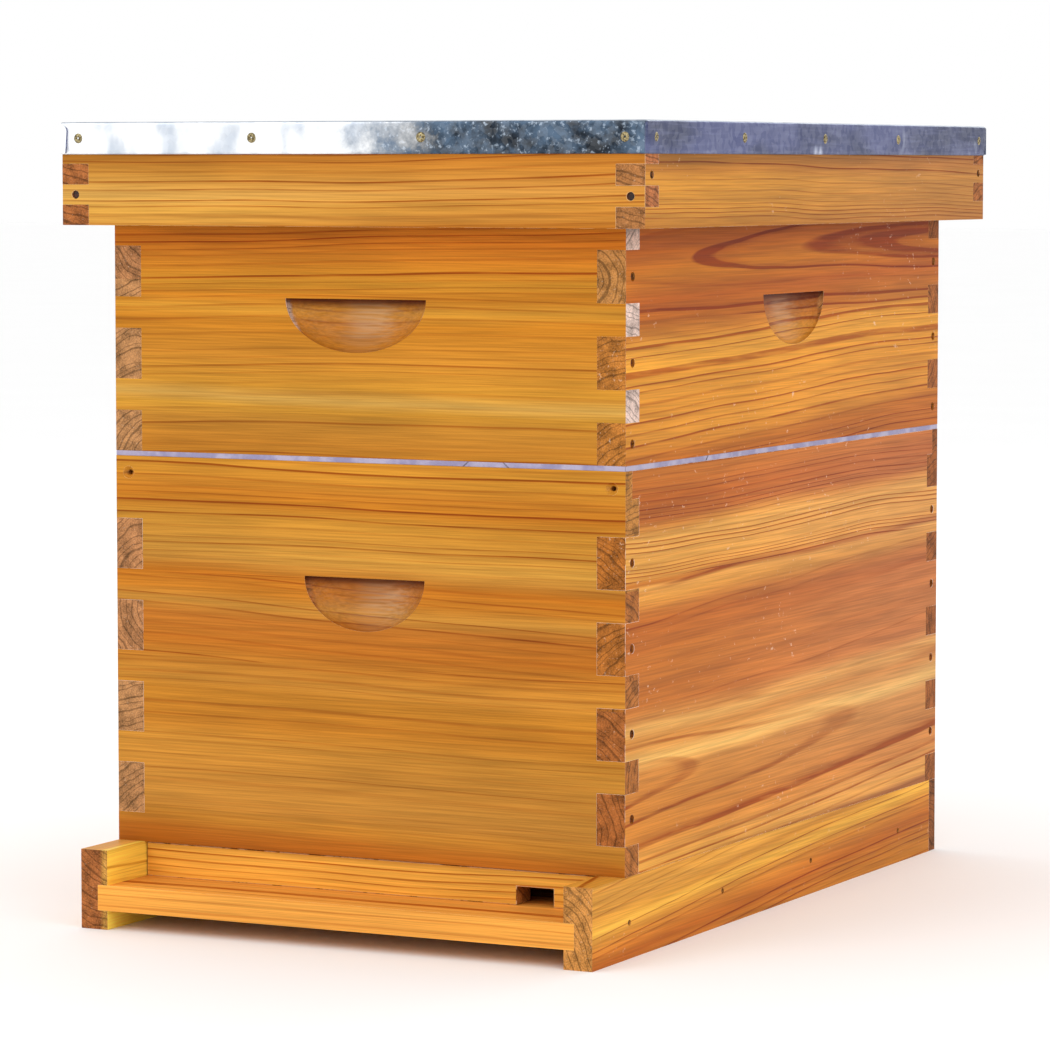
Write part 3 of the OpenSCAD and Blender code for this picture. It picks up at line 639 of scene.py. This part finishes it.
def box_boards():
    """The eight boards of the two boxes. A board's across direction is its height."""
    for box in BOXES:
        front, right = (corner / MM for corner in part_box(f"{box}_front"))
        low, front_y, rear_y, half = front.z, front.y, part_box(f"{box}_rear")[1].y / MM, right.x
        ledge = right.z - LEDGE_DROP
        tones, side_tones, seed, front_middle = BOX_LOOKS[box]
        board(f"{box}_front", "xyz", front_planks(box, front_y, low), EDGE_FRONT, BOX_EDGE,
              zones=(low, -0.015, tones, FRONT_GAIN), recess=(front_y, -1, front_middle, ledge))
        # The right side's wash is a painted pinkish haze of reflected light
        board(f"{box}_right", "yxz", side_planks(box, half, low), EDGE_SIDE, BOX_EDGE,
              zones=(low, SIDE_LEAN[box], side_tones, SIDE_GAIN), wash=("b88470", SIDE_REFLECTION_HAZE[box]),
              recess=(half, 1, SIDE_HANDHOLD_AT, ledge), scuffs=0.55)
        board(f"{box}_rear", "xyz", [
            (None, plank((rear_y + 50, low - 60), (0, 0.012), 7, band=0.4, line=0.8, end="98592c",
                         pith=(rear_y - 44, low + 60), seed=seed)),
            (low + 96, plank((rear_y + 40, low + 80), (0.01, -0.01), 6, band=0.4, line=0.8, end="8f5228",
                             pith=(rear_y + 20, low + 110), seed=seed + 2.2))],
            EDGE_FRONT, BOX_EDGE, zones=(low, 0.012, flipped(tones), FRONT_GAIN),
            recess=(rear_y, 1, 0, ledge))
        board(f"{box}_left", "yxz", [
            (None, plank((-half + 18, low + 40), (-0.03, -0.02), 8, band=0.4, line=0.9, end="a8784c",
                         pith=(-half + 40, low - 20), seed=seed + 4.4)),
            (low + 108, plank((-half - 60, low - 240), (0, 0.02), 5, band=0.4, line=0.9, end="a8744a",
                              pith=(-half + 36, low + 150), seed=seed + 6.6))],
            EDGE_SIDE, BOX_EDGE, zones=(low, -0.02, flipped(side_tones), FRONT_GAIN),
            recess=(-half, -1, 0, ledge), scuffs=0.3)


def front_planks(box, front_y, low):
    """The planks that a box's front board is glued up from. The medium's show pale end grain on the side."""
    if box == "deep":
        return [(None, plank((front_y - 62, low - 90), (0, -0.006), 6, line=0.7, end="a0622e",
                             pith=(front_y + 45, low + 52), seed=1.3)),
                (low + 118, plank((front_y - 40, low - 120), (0, -0.04), 6.5, line=0.9, end="a0602c",
                                  pith=(front_y - 26, low + 96), seed=4.1)),
                (low + 172, plank((front_y - 20, low - 130), (0, 0.004), 6, line=1.1, end="a87034",
                                  pith=(front_y - 8, low + 330), seed=7.7))]
    return [(None, plank((front_y - 55, low - 80), (0, 0.008), 6, line=0.75, end="c9b0a4",
                         pith=(front_y - 20, low - 30), seed=2.9)),
            (low + 100, plank((front_y - 50, low - 150), (0, 0.02), 5.5, line=1.0, end="c4aa9c",
                              pith=(front_y + 50, low + 60), seed=9.2))]


def side_planks(box, half, low):
    """The planks that a box's right side board is glued up from."""
    if box == "deep":
        return [(None, plank((half - 44, low + 60), (-0.02, 0.03), 7.5, line=1.0, end="98592a",
                             pith=(half - 60, low + 20), seed=3.1)),
                (low + 100, plank((half + 30, low - 260), (0, 0.045), 15, line=1.1, end="a06026",
                                  pith=(half + 30, low + 90), seed=6.4)),
                (low + 177, plank((half - 15, low - 300), (0, 0.004), 3.2, line=1.3, end="a05f24",
                                  pith=(half - 50, low + 130), seed=11.3))]
    return [(None, plank((half - 30, low - 240), (0, 0.035), 5.5, line=1.25, end="a86a2c",
                         pith=(half + 20, low - 30), seed=5.2)),
            (low + 86, plank((half - 16, low + 126), (0.035, 0.016), 8, line=1.4, end="a8743e",
                             pith=(half - 26, low + 110), seed=8.8))]


def cover_boards():
    """The outer cover's rim, and the deck under its sheet, which is three unwaxed planks."""
    low, high = (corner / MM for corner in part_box("cover_front"))
    half, front_y, base = high.x, low.y, low.z
    board("cover_front", "xyz", [
        (None, plank((front_y - 30, base - 140), (0, 0.014), 5.5, line=1.0, end="a8663c", seed=12.4))],
        EDGE_FRONT, zones=(base, 0.008, COVER_FRONT, FRONT_GAIN), wash=("c0701f", 0.5))
    board("cover_right", "yxz", [
        (None, plank((half - 70, base - 300), (0, -0.012), 3.4, band=0.2, line=0.9, seed=14.9))],
        EDGE_SIDE, zones=(base, 0, COVER_SIDE, SIDE_GAIN), wash=("a87048", 0.4), scuffs=0.5)
    board("cover_rear", "xyz", [
        (None, plank((-front_y + 40, base - 90), (0, 0.01), 5, line=0.9, end="9a5c30", seed=17.7))],
        EDGE_FRONT, zones=(base, -0.01, COVER_FRONT, FRONT_GAIN))
    board("cover_left", "yxz", [
        (None, plank((-half - 55, base - 200), (0, 0.01), 4, line=0.9, end="9a5c30", seed=19.1))],
        EDGE_SIDE, zones=(base, 0.01, COVER_SIDE, FRONT_GAIN), scuffs=0.3)
    deck = dict(tilt=(0, 0.01), band=0.4, end="b98a58")
    dress("cover_deck", [wood("deck_wood", "yzx", [
        (None, plank((base + 20, -240), ring=7, base="e0b478", seed=23.0, **deck)),
        (-60, plank((base + 100, -40), ring=8, base="dcae70", seed=25.0, **deck)),
        (75, plank((base + 10, 160), ring=6, base="e4ba80", seed=27.0, **deck))], roughness=0.5, coat=0.02)])


def bottom_boards():
    """The bottom board's rails, rear strip and floor, and the entrance reducer."""
    low, high = (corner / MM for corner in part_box("bottom_rail_right"))
    half, front_y = high.x, low.y
    board("bottom_rail_right", "yxz", [
        (None, plank((half + 30, -60), (0, 0.06), 5.5, line=0.9, end="bd8242", pith=(half - 60, -12),
                     seed=31.5))], EDGE_RAIL, zones=(0, 0.05, RAIL_SIDE, SIDE_GAIN), scuffs=0.2)
    board("bottom_rail_left", "yxz", [
        (None, plank((-half - 20, -30), (0, -0.04), 6, base="e4a44a", line=0.5, end="9a5c30",
                     pith=(-half + 30, 70), seed=34.2))], EDGE_RAIL, sap=(-half + 13, (1.4, 2.1, 1.6, 1)))
    board("bottom_rear_strip", "xyz", [
        (None, plank((220, -60), (0, 0.01), 6, base="cf8a3c", band=0.4, line=0.8, end="7f4a26", seed=36.3))],
        EDGE_SIDE, SMALL_EDGE)
    floor = dict(line=0.75, end="b07a44")
    board("floor_planks", "xzy", [
        (None, plank((-90, front_y - 60), (0.004, 0), 6, base="f0a84a", seed=38.6, **floor)),
        (front_y + 134, plank((90, front_y + 260), (0, 0.01), 6, base="dc983e", seed=40.1, **floor)),
        (front_y + 269, plank((-30, front_y + 300), (0, -0.01), 8, base="e2a452", seed=42.8, **floor)),
        (front_y + 404, plank((70, front_y + 420), (0, 0.01), 7, base="d8943c", seed=44.4, **floor))],
        EDGE_FLOOR, SMALL_EDGE)
    board("entrance_reducer", "xyz", [
        (None, plank((front_y - 40, -90), (0, 0.006), 4.5, base="ecac45", line=0.85, end="a06a34",
                     seed=46.0))], EDGE_FRONT, SMALL_EDGE)


def inner_pieces():
    """The inner cover and the hanging frames, of unwaxed pale wood."""
    pale = dict(base="e3bd85", band=0.4, line=0.7, end="c49a66")
    bare = dict(roughness=0.5, coat=0.02)
    low, high = (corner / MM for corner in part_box("inner_cover_rim"))
    middle = (low.y + high.y) / 2
    inner_x, inner_y = high.x - INNER_RIM_W, (high.y - low.y) / 2 - INNER_RIM_W
    dress("inner_cover_rim", [wood("inner_rim_wood", "yzx", [
        (None, plank((500, -90), (0, 0.004), 6, seed=51.0, **pale))],
        turned=(middle, inner_y, -inner_x, inner_x, "xzy"), **bare)], width=0.3 * MM)
    dress("inner_cover_panel", [wood("inner_panel_wood", "yzx", [
        (None, plank((520, -70), (0.02, 0.01), 9, seed=53.0, **pale)),
        (0, plank((420, 90), (0.01, -0.01), 8, seed=55.0, **pale))], **bare)], width=0.3 * MM)
    for b, box in enumerate(BOXES):
        low, high = (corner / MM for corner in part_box(f"{box}_frame_1"))
        sheet_low, sheet_high = (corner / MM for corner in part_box(f"{box}_foundation_1"))
        bars_from = (sheet_high.y - sheet_low.y) / 2 + 1
        end_bars = ((low.y + high.y) / 2, bars_from, low.z - 1, high.z - LUG_T, "zxy")
        stock = []
        for i, base in enumerate(("e8c690", "e1b97f", "ebcb9a")):
            bar = plank((40 - 60 * i, 350 - 40 * i), (0.01, 0.012), 5, base=base, band=0.25, line=0.7,
                        end="b88a56", seed=61.0 + 3 * i)
            stock.append(wood(f"{box}_frame_wood_{i + 1}", "yxz", [(None, bar)], turned=end_bars, **bare))
        for i in FRAME_NUMBERS:
            dress(f"{box}_frame_{i}", [stock[(i + b) % len(stock)]], width=0.4 * MM)


# ---------------------------------------------------------------- metal pieces

def islands(node):
    """The boxes, as (low, high), of the separate solids of a CAD node."""
    bm = bmesh.new()
    bm.from_mesh(nodes[node].data)
    bmesh.ops.remove_doubles(bm, verts=bm.verts, dist=WELD)
    left = set(bm.verts)
    boxes = []
    while left:
        reached = [left.pop()]
        for vert in reached:
            for edge in vert.link_edges:
                other = edge.other_vert(vert)
                if other in left:
                    left.discard(other)
                    reached.append(other)
        spans = [[v.co[i] for v in reached] for i in range(3)]
        boxes.append((Vector([min(span) for span in spans]), Vector([max(span) for span in spans])))
    bm.free()
    return sorted(boxes, key=lambda box: tuple(box[0]))


def outward(low, high, center):
    """The direction that a nail's head faces: along its length, away from the object's middle."""
    size = high - low
    axis = max(range(3), key=lambda i: size[i])
    direction = Vector((0, 0, 0))
    direction[axis] = 1 if (low + high)[axis] / 2 > center[axis] else -1
    return direction


def lathe(bm, profile, head, direction, steps=20):
    """Turns a (radius, height) profile, in metres, round a nail's axis. Its first and last radii are 0."""
    turn = direction.to_track_quat("Z", "Y")
    rings = []
    for radius, height in profile:
        count = steps if radius > 0 else 1
        rings.append([bm.verts.new(head + turn @ Vector((radius * math.cos(math.tau * i / steps),
                                                          radius * math.sin(math.tau * i / steps), height)))
                      for i in range(count)])
    for a, b in zip(rings, rings[1:]):
        for i in range(steps):
            corners = [a[i % len(a)], a[(i + 1) % len(a)], b[(i + 1) % len(b)], b[i % len(b)]]
            bm.faces.new(list(dict.fromkeys(corners)))


NAIL_SHANK, NAIL_HEAD_T, NAIL_TAPER = 1.2 * MM, 1.3 * MM, 3 * MM


def skirt_nails():
    """Round-headed nails with a dimpled crown and a rolled edge."""
    low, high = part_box("cover_sheet_nails")
    center = (low + high) / 2
    bm = bmesh.new()
    for a, b in islands("cover_sheet_nails"):
        direction = outward(a, b, center)
        axis = max(range(3), key=lambda i: abs(direction[i]))
        head = (a + b) / 2
        head[axis] = b[axis] if direction[axis] > 0 else a[axis]
        length = b[axis] - a[axis]
        radius = (b - a)[(axis + 1) % 3] / 2
        crown = [(0, -0.7), (0.16, -0.65), (0.26, 0), (0.55, 0.05), (0.82, -0.3), (0.97, -0.75), (1, -1.15)]
        lathe(bm, [*((share * radius, height * MM) for share, height in crown),
                   (0.94 * radius, -NAIL_HEAD_T), (NAIL_SHANK, -NAIL_HEAD_T),
                   (NAIL_SHANK, NAIL_TAPER - length), (0, -length)], head, direction)
    made = link_mesh("skirt_nails", bm, [metal("nail_brass", "b5a67c", "5d5138", 0.34, 900)], "outer_cover")
    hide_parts("cover_sheet_nails")


SHEET_T = 0.48 * MM
CORNER_RADIUS, FOLD_RADIUS, LOOP_STEP, SKIRT_ROWS = 1.5 * MM, 1.6 * MM, 5 * MM, 8
# The skirt stands out round each nail in a ring this far from it, this high and wide
NAIL_SPOT, NAIL_RISE, NAIL_REACH = 5.5 * MM, 0.5 * MM, 5 * MM
# It flares at its corners, and bulges a little everywhere
FLARE, FLARE_REACH, BULGE = 1.1 * MM, 26 * MM, 0.8 * MM
# The top's rings, as shares of the way from its middle to its edge
TOP_RINGS = (0.97, 0.92, 0.85, 0.76, 0.66, 0.55, 0.44, 0.33, 0.22, 0.11, 0.03)
TAB_W, TAB_RADIUS, TAB_T, TAB_OVERLAP = 5.5 * MM, 4.5 * MM, 1.4 * MM, 0.4 * MM


def rounded_loop(low, high, radius, step):
    """Points round a rectangle with rounded corners, as [(place, outward direction), ...]."""
    loop = []
    corners = ((high.x, low.y, -90), (high.x, high.y, 0), (low.x, high.y, 90), (low.x, low.y, 180))

    def center(x, y):
        return Vector((x - math.copysign(radius, x), y - (radius if y == high.y else -radius), 0))

    for i, (x, y, start) in enumerate(corners):
        for k in range(5):
            angle = math.radians(start + 90 * k / 4)
            way = Vector((math.cos(angle), math.sin(angle), 0))
            loop.append((center(x, y) + way * radius, way))
        a, way = loop[-1]
        b = center(*corners[(i + 1) % 4][:2]) + way * radius
        count = max(2, round((b - a).length / step))
        loop += [(a.lerp(b, k / count), way) for k in range(1, count)]
    return loop


def sheet_mesh(low, high, nails):
    """The folded sheet's outside: an uneven skirt, an eased fold and a slightly uneven top."""
    loop = rounded_loop(low, high, CORNER_RADIUS, LOOP_STEP)
    last_row = high.z - FOLD_RADIUS
    rows = [low.z + (last_row - low.z) * k / (SKIRT_ROWS - 1) for k in range(SKIRT_ROWS)]

    def bulge(place, z):
        spot = Vector((place.x, place.y, z))
        near = min(math.hypot((spot - n).xy.length - NAIL_SPOT, z - n.z) for n in nails)
        corner = min(math.hypot(place.x - x, place.y - y) for x in (low.x, high.x) for y in (low.y, high.y))
        share = (z - low.z) / (high.z - low.z)
        uneven = noise.noise(spot * 38) * 0.35 + noise.noise(spot * 110) * 0.15
        flare = FLARE * max(0.0, 1 - corner / FLARE_REACH) ** 2 * share
        return max(0.0, 0.3 + uneven) * BULGE + flare + NAIL_RISE * math.exp(-(near / NAIL_REACH) ** 2)

    bm = bmesh.new()
    rings = [[bm.verts.new(Vector((p.x, p.y, z)) + way * bulge(p, z)) for p, way in loop] for z in rows]
    for k in range(1, 5):
        angle = math.radians(90 * k / 4)
        inset = FOLD_RADIUS * (1 - math.cos(angle))
        z = high.z - FOLD_RADIUS * (1 - math.sin(angle))
        ring = []
        for p, way in loop:
            out = bulge(p, rows[-1]) * math.cos(angle) - inset
            ring.append(bm.verts.new(Vector((p.x, p.y, z)) + way * out))
        rings.append(ring)
    center = Vector(((low.x + high.x) / 2, (low.y + high.y) / 2, high.z))
    for share in TOP_RINGS:
        ring = []
        for p, way in loop:
            spot = center + Vector((p.x - center.x, p.y - center.y, 0)) * share
            uneven = noise.noise(spot * 9) * 0.8 + noise.noise(spot * 27) * 0.25
            lift = uneven * MM * min(1, (1 - share) * 12)
            ring.append(bm.verts.new(spot + Vector((0, 0, max(lift, -0.2 * MM)))))
        rings.append(ring)
    middle = bm.verts.new(center)
    for a, b in zip(rings, rings[1:]):
        for i in range(len(loop)):
            j = (i + 1) % len(loop)
            bm.faces.new((a[i], a[j], b[j], b[i]))
    for i in range(len(loop)):
        bm.faces.new((rings[-1][i], rings[-1][(i + 1) % len(loop)], middle))
    return bm


def tin_cover():
    """The folded sheet, and the tabs that lap its corners."""
    low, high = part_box("cover_sheet")
    nails = [(a + b) / 2 for a, b in islands("cover_sheet_nails")]
    side_nails = sorted((n for n in nails if n.x > high.x - 15 * MM and abs(n.y) < high.y - 40 * MM),
                        key=lambda n: n.y)
    # Painted pale reflections on the right skirt: round its last nail, at its lower edge near the nail
    # before, and at its lower edge near its far end
    splashes = [(Vector((high.x, side_nails[-1].y, side_nails[-1].z)), 15 * MM),
                (Vector((high.x, side_nails[-2].y - 11 * MM, low.z)), 9 * MM),
                (Vector((high.x, high.y - 20 * MM, low.z)), 14 * MM)]
    sheet = galvanised("galvanised", high.x - low.x, splashes)
    made = link_mesh("tin_cover", sheet_mesh(low, high, nails), [sheet], "outer_cover")
    shell = made.modifiers.new("shell", "SOLIDIFY")
    shell.thickness = SHEET_T
    shell.offset = -1
    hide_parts("cover_sheet")
    corner_laps(low, high, sheet)


def corner_laps(low, high, sheet):
    """The side skirts end in a narrow tab that laps each corner of the front and rear ones."""
    bm = bmesh.new()
    outline = tab_outline(low.z + 0.5 * MM, high.z - 1.4 * MM)
    for x_side in (-1, 1):
        for y_side in (-1, 1):
            corner = Vector((high.x if x_side > 0 else low.x, high.y if y_side > 0 else low.y, 0))
            lift = y_side * (FLARE + 1.0 * MM)
            front = [bm.verts.new(corner + Vector((-x_side * a, lift, z))) for a, z in outline]
            back = [bm.verts.new(v.co - Vector((0, y_side * TAB_T, 0))) for v in front]
            bm.faces.new(front)
            bm.faces.new(back)
            for i in range(len(front)):
                j = (i + 1) % len(front)
                bm.faces.new((front[i], front[j], back[j], back[i]))
    laps = link_mesh("cover_corner_laps", bm, [sheet], "outer_cover", smooth=False)
    ease = laps.modifiers.new("ease", "BEVEL")
    ease.width = 0.25 * MM
    ease.segments = 2


def tab_outline(bottom, top):
    """A corner tab, as (distance from the corner, height): straight at the bottom, rounded at the top."""
    points = [(-TAB_OVERLAP, bottom), (TAB_W - 1 * MM, bottom)]
    for k in range(6):
        angle = math.radians(90 * k / 5)
        points.append((TAB_W - TAB_RADIUS * (1 - math.cos(angle)), top - TAB_RADIUS * (1 - math.sin(angle))))
    points.append((-TAB_OVERLAP, top))
    return points


# Where the excluder's edge strip is joined: (distance from the middle in mm, slant) on the ends, and on the
# sides, and the size of the thin ridge there
END_JOINS, SIDE_JOIN = ((70.5, 1), (97.7, -1)), 135
JOIN_W, JOIN_RISE, JOIN_SINK, JOIN_SLANT = 0.9 * MM, 0.35 * MM, 0.3 * MM, 1.6 * MM
BOX_FACES = ((0, 1, 3, 2), (4, 5, 7, 6), (0, 1, 5, 4), (2, 3, 7, 6), (0, 2, 6, 4), (1, 3, 7, 5))


def excluder():
    """The excluder's folded edge and grille, and the slanted ridges where the edge strip is joined."""
    zinc = metal("excluder_zinc", "b3aac0", "958dac", 0.42, 45, metallic=0.7)
    dress("excluder_binding", [zinc], width=0.5 * MM, segments=2)
    dress("excluder_wires", [metal("excluder_wire", "c2c4cc", "85878f", 0.35, 80)], width=0)
    low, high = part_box("excluder_binding")
    middle = (low + high) / 2
    height = high.z - low.z - 0.4 * MM
    marks = []
    for side in (-1, 1):
        end_y = low.y if side < 0 else high.y
        side_x = low.x if side < 0 else high.x
        for x, slant in END_JOINS:
            marks.append((Vector((-side * x * MM, end_y, middle.z)), Vector((-side, 0, 0)),
                          Vector((0, side, 0)), slant))
        marks.append((Vector((side_x, middle.y - side * SIDE_JOIN * MM, middle.z)), Vector((0, side, 0)),
                      Vector((side, 0, 0)), 1))
    bm = bmesh.new()
    for place, along, out, slant in marks:
        lean = along * slant * JOIN_SLANT
        corners = []
        for depth in (-JOIN_SINK, JOIN_RISE):
            for up in (-1, 1):
                for edge in (-1, 1):
                    corners.append(bm.verts.new(place + lean * up + along * (edge * JOIN_W / 2)
                                                + Vector((0, 0, up * height / 2)) + out * depth))
        for quad in BOX_FACES:
            bm.faces.new([corners[i] for i in quad])
    made = link_mesh("excluder_fold_marks", bm, [metal("fold_mark", "8f8a98", "5f5a68", 0.45, 300)],
                     "queen_excluder", smooth=False)
    ease = made.modifiers.new("ease", "BEVEL")
    ease.width = 0.12 * MM


def plain_nails():
    """Nails whose heads are sunk in the wood, dark with wax and rust."""
    waxed = metal("waxed_nail", "9c5428", "4a2210", 0.5, 500, metallic=0.2)
    rusty = metal("rusty_nail", "4a2412", "1c0d06", 0.5, 500, metallic=0.2)
    for node, material in (("bottom_nails", rusty), ("deep_nails", waxed), ("medium_nails", waxed),
                           ("cover_rim_nails", rusty)):
        dress(node, [material], width=0.15 * MM, angle=50)


# ---------------------------------------------------------------- wax foundation

# Width of a cell, and how deep its middle and how high its rim are off the sheet's face
CELL, CELL_DEPTH = 5.3 * MM, 0.32 * MM
CELL_RIM = 0.6 * CELL_DEPTH


def comb_sheet(name, low, high, material):
    """A sheet of foundation pressed with hexagonal cells on both sides, as a mesh about its own middle."""
    size = high - low
    row_h = CELL * math.sqrt(3) / 2
    side = CELL / math.sqrt(3)
    columns, rows = int(size.y / CELL) + 4, int(size.z / row_h) + 4
    bm = bmesh.new()
    for face in (-1, 1):
        known = {}

        def vertex(y, z, x):
            key = (round(y * 1e5), round(z * 1e5))
            if key not in known:
                known[key] = bm.verts.new((x * face, y, z))
            return known[key]

        for row in range(rows):
            for column in range(columns):
                y = (column + (row % 2) / 2 - columns / 2) * CELL
                z = (row - rows / 2) * row_h
                middle = vertex(y, z, size.x / 2 - CELL_DEPTH)
                rim = []
                for k in range(6):
                    angle = math.radians(60 * k + 30)
                    rim.append(vertex(y + side * math.cos(angle), z + side * math.sin(angle),
                                      size.x / 2 + CELL_RIM))
                for a, b in zip(rim, rim[1:] + rim[:1]):
                    bm.faces.new((middle, a, b) if face > 0 else (middle, b, a))

    # Both faces are trimmed to the sheet's outline and joined round it
    for axis in (1, 2):
        for way in (-1, 1):
            edge = Vector((0, 0, 0))
            edge[axis] = way * size[axis] / 2
            everything = bm.verts[:] + bm.edges[:] + bm.faces[:]
            bmesh.ops.bisect_plane(bm, geom=everything, dist=1e-7, plane_co=edge, plane_no=edge.normalized(),
                                   clear_outer=True)
    rims = {face: {(round(v.co.y * 1e6), round(v.co.z * 1e6)): v for v in bm.verts
                   if v.is_boundary and v.co.x * face > 0} for face in (-1, 1)}
    for edge in [e for e in bm.edges if e.is_boundary and e.verts[0].co.x > 0]:
        a, b = edge.verts
        opposite = [rims[-1][(round(v.co.y * 1e6), round(v.co.z * 1e6))] for v in (b, a)]
        bm.faces.new((a, b, *opposite))
    bmesh.ops.recalc_face_normals(bm, faces=bm.faces)
    mesh = bpy.data.meshes.new(name)
    bm.to_mesh(mesh)
    bm.free()
    mesh.materials.append(material)
    return mesh


def foundations():
    """One sheet of wax in each frame."""
    material = beeswax("wax")
    for box in BOXES:
        first_low, first_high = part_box(f"{box}_foundation_1")
        mesh = comb_sheet(f"{box}_comb", first_low, first_high, material)
        for i in FRAME_NUMBERS:
            node = f"{box}_foundation_{i}"
            low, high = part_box(node)
            made = bpy.data.objects.new(f"{box}_comb_{i}", mesh)
            made.location = (low + high) / 2
            bpy.context.scene.collection.objects.link(made)
            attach(made, f"{box}_frame_{i}")
            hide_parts(node)


# ---------------------------------------------------------------- camera, light and stage

VIEW_YAW = math.radians(26.64)
VIEW_PITCH = math.radians(4.48)
VIEW_DISTANCE = 3.03
AIM_OFFSET = Vector((-7, -8, -12)) * MM
LENS, SENSOR = 157.2, 36.0
LIGHT_AIM = Vector((0, 0, 0.25))
FLOOR_HALF = 30


def camera():
    """A long lens, a little above the hive and to the right of its front."""
    low, high = cad_bounds
    aim = (Vector(low) + Vector(high)) / 2 + AIM_OFFSET
    forward = Vector((-math.sin(VIEW_YAW) * math.cos(VIEW_PITCH), math.cos(VIEW_YAW) * math.cos(VIEW_PITCH),
                      -math.sin(VIEW_PITCH)))
    data = bpy.data.cameras.new("camera")
    data.lens = LENS
    data.sensor_width = SENSOR
    data.dof.use_dof = False
    data.clip_end = 50
    made = bpy.data.objects.new("camera", data)
    made.location = aim - forward * VIEW_DISTANCE
    made.rotation_euler = forward.to_track_quat("-Z", "Y").to_euler()
    bpy.context.scene.collection.objects.link(made)
    bpy.context.scene.camera = made


def area_light(name, place, size, power):
    """A soft light aimed at the middle of the hive."""
    data = bpy.data.lights.new(name, "AREA")
    data.shape = "RECTANGLE"
    data.size, data.size_y = size
    data.energy = power
    made = bpy.data.objects.new(name, data)
    made.location = place
    made.rotation_euler = (LIGHT_AIM - Vector(place)).to_track_quat("-Z", "Y").to_euler()
    bpy.context.scene.collection.objects.link(made)


def studio():
    """Four soft lights, a white world and a pale floor."""
    area_light("key", (-1.4, -2.8, 2.2), (1.6, 1.6), 20)
    area_light("fill", (2.8, -1.4, 1.5), (1.6, 1.6), 11)
    area_light("back", (0.6, 3.0, 2.2), (1.6, 1.6), 12)
    area_light("left", (-3.0, 0.6, 1.4), (1.4, 1.4), 9)
    world = bpy.data.worlds.new("studio")
    world.use_nodes = True
    world.node_tree.nodes["Background"].inputs["Color"].default_value = (1, 1, 1, 1)
    world.node_tree.nodes["Background"].inputs["Strength"].default_value = 1.0
    bpy.context.scene.world = world
    bpy.context.scene.view_settings.view_transform = "Standard"

    bm = bmesh.new()
    bmesh.ops.create_grid(bm, x_segments=1, y_segments=1, size=FLOOR_HALF)
    mesh = bpy.data.meshes.new("floor")
    bm.to_mesh(mesh)
    bm.free()
    floor = bpy.data.objects.new("floor", mesh)
    bpy.context.scene.collection.objects.link(floor)
    material, s, principled = new_material("floor")
    coord = s.node("ShaderNodeTexCoord").outputs["Object"]
    s.put(principled.inputs["Base Color"], s.mix(s.noise(coord, 3.0), rgb("fcfcfc"), rgb("ffffff")))
    principled.inputs["Roughness"].default_value = 0.8
    mesh.materials.append(material)


box_boards()
cover_boards()
bottom_boards()
inner_pieces()
tin_cover()
skirt_nails()
excluder()
plain_nails()
foundations()
camera()
studio()
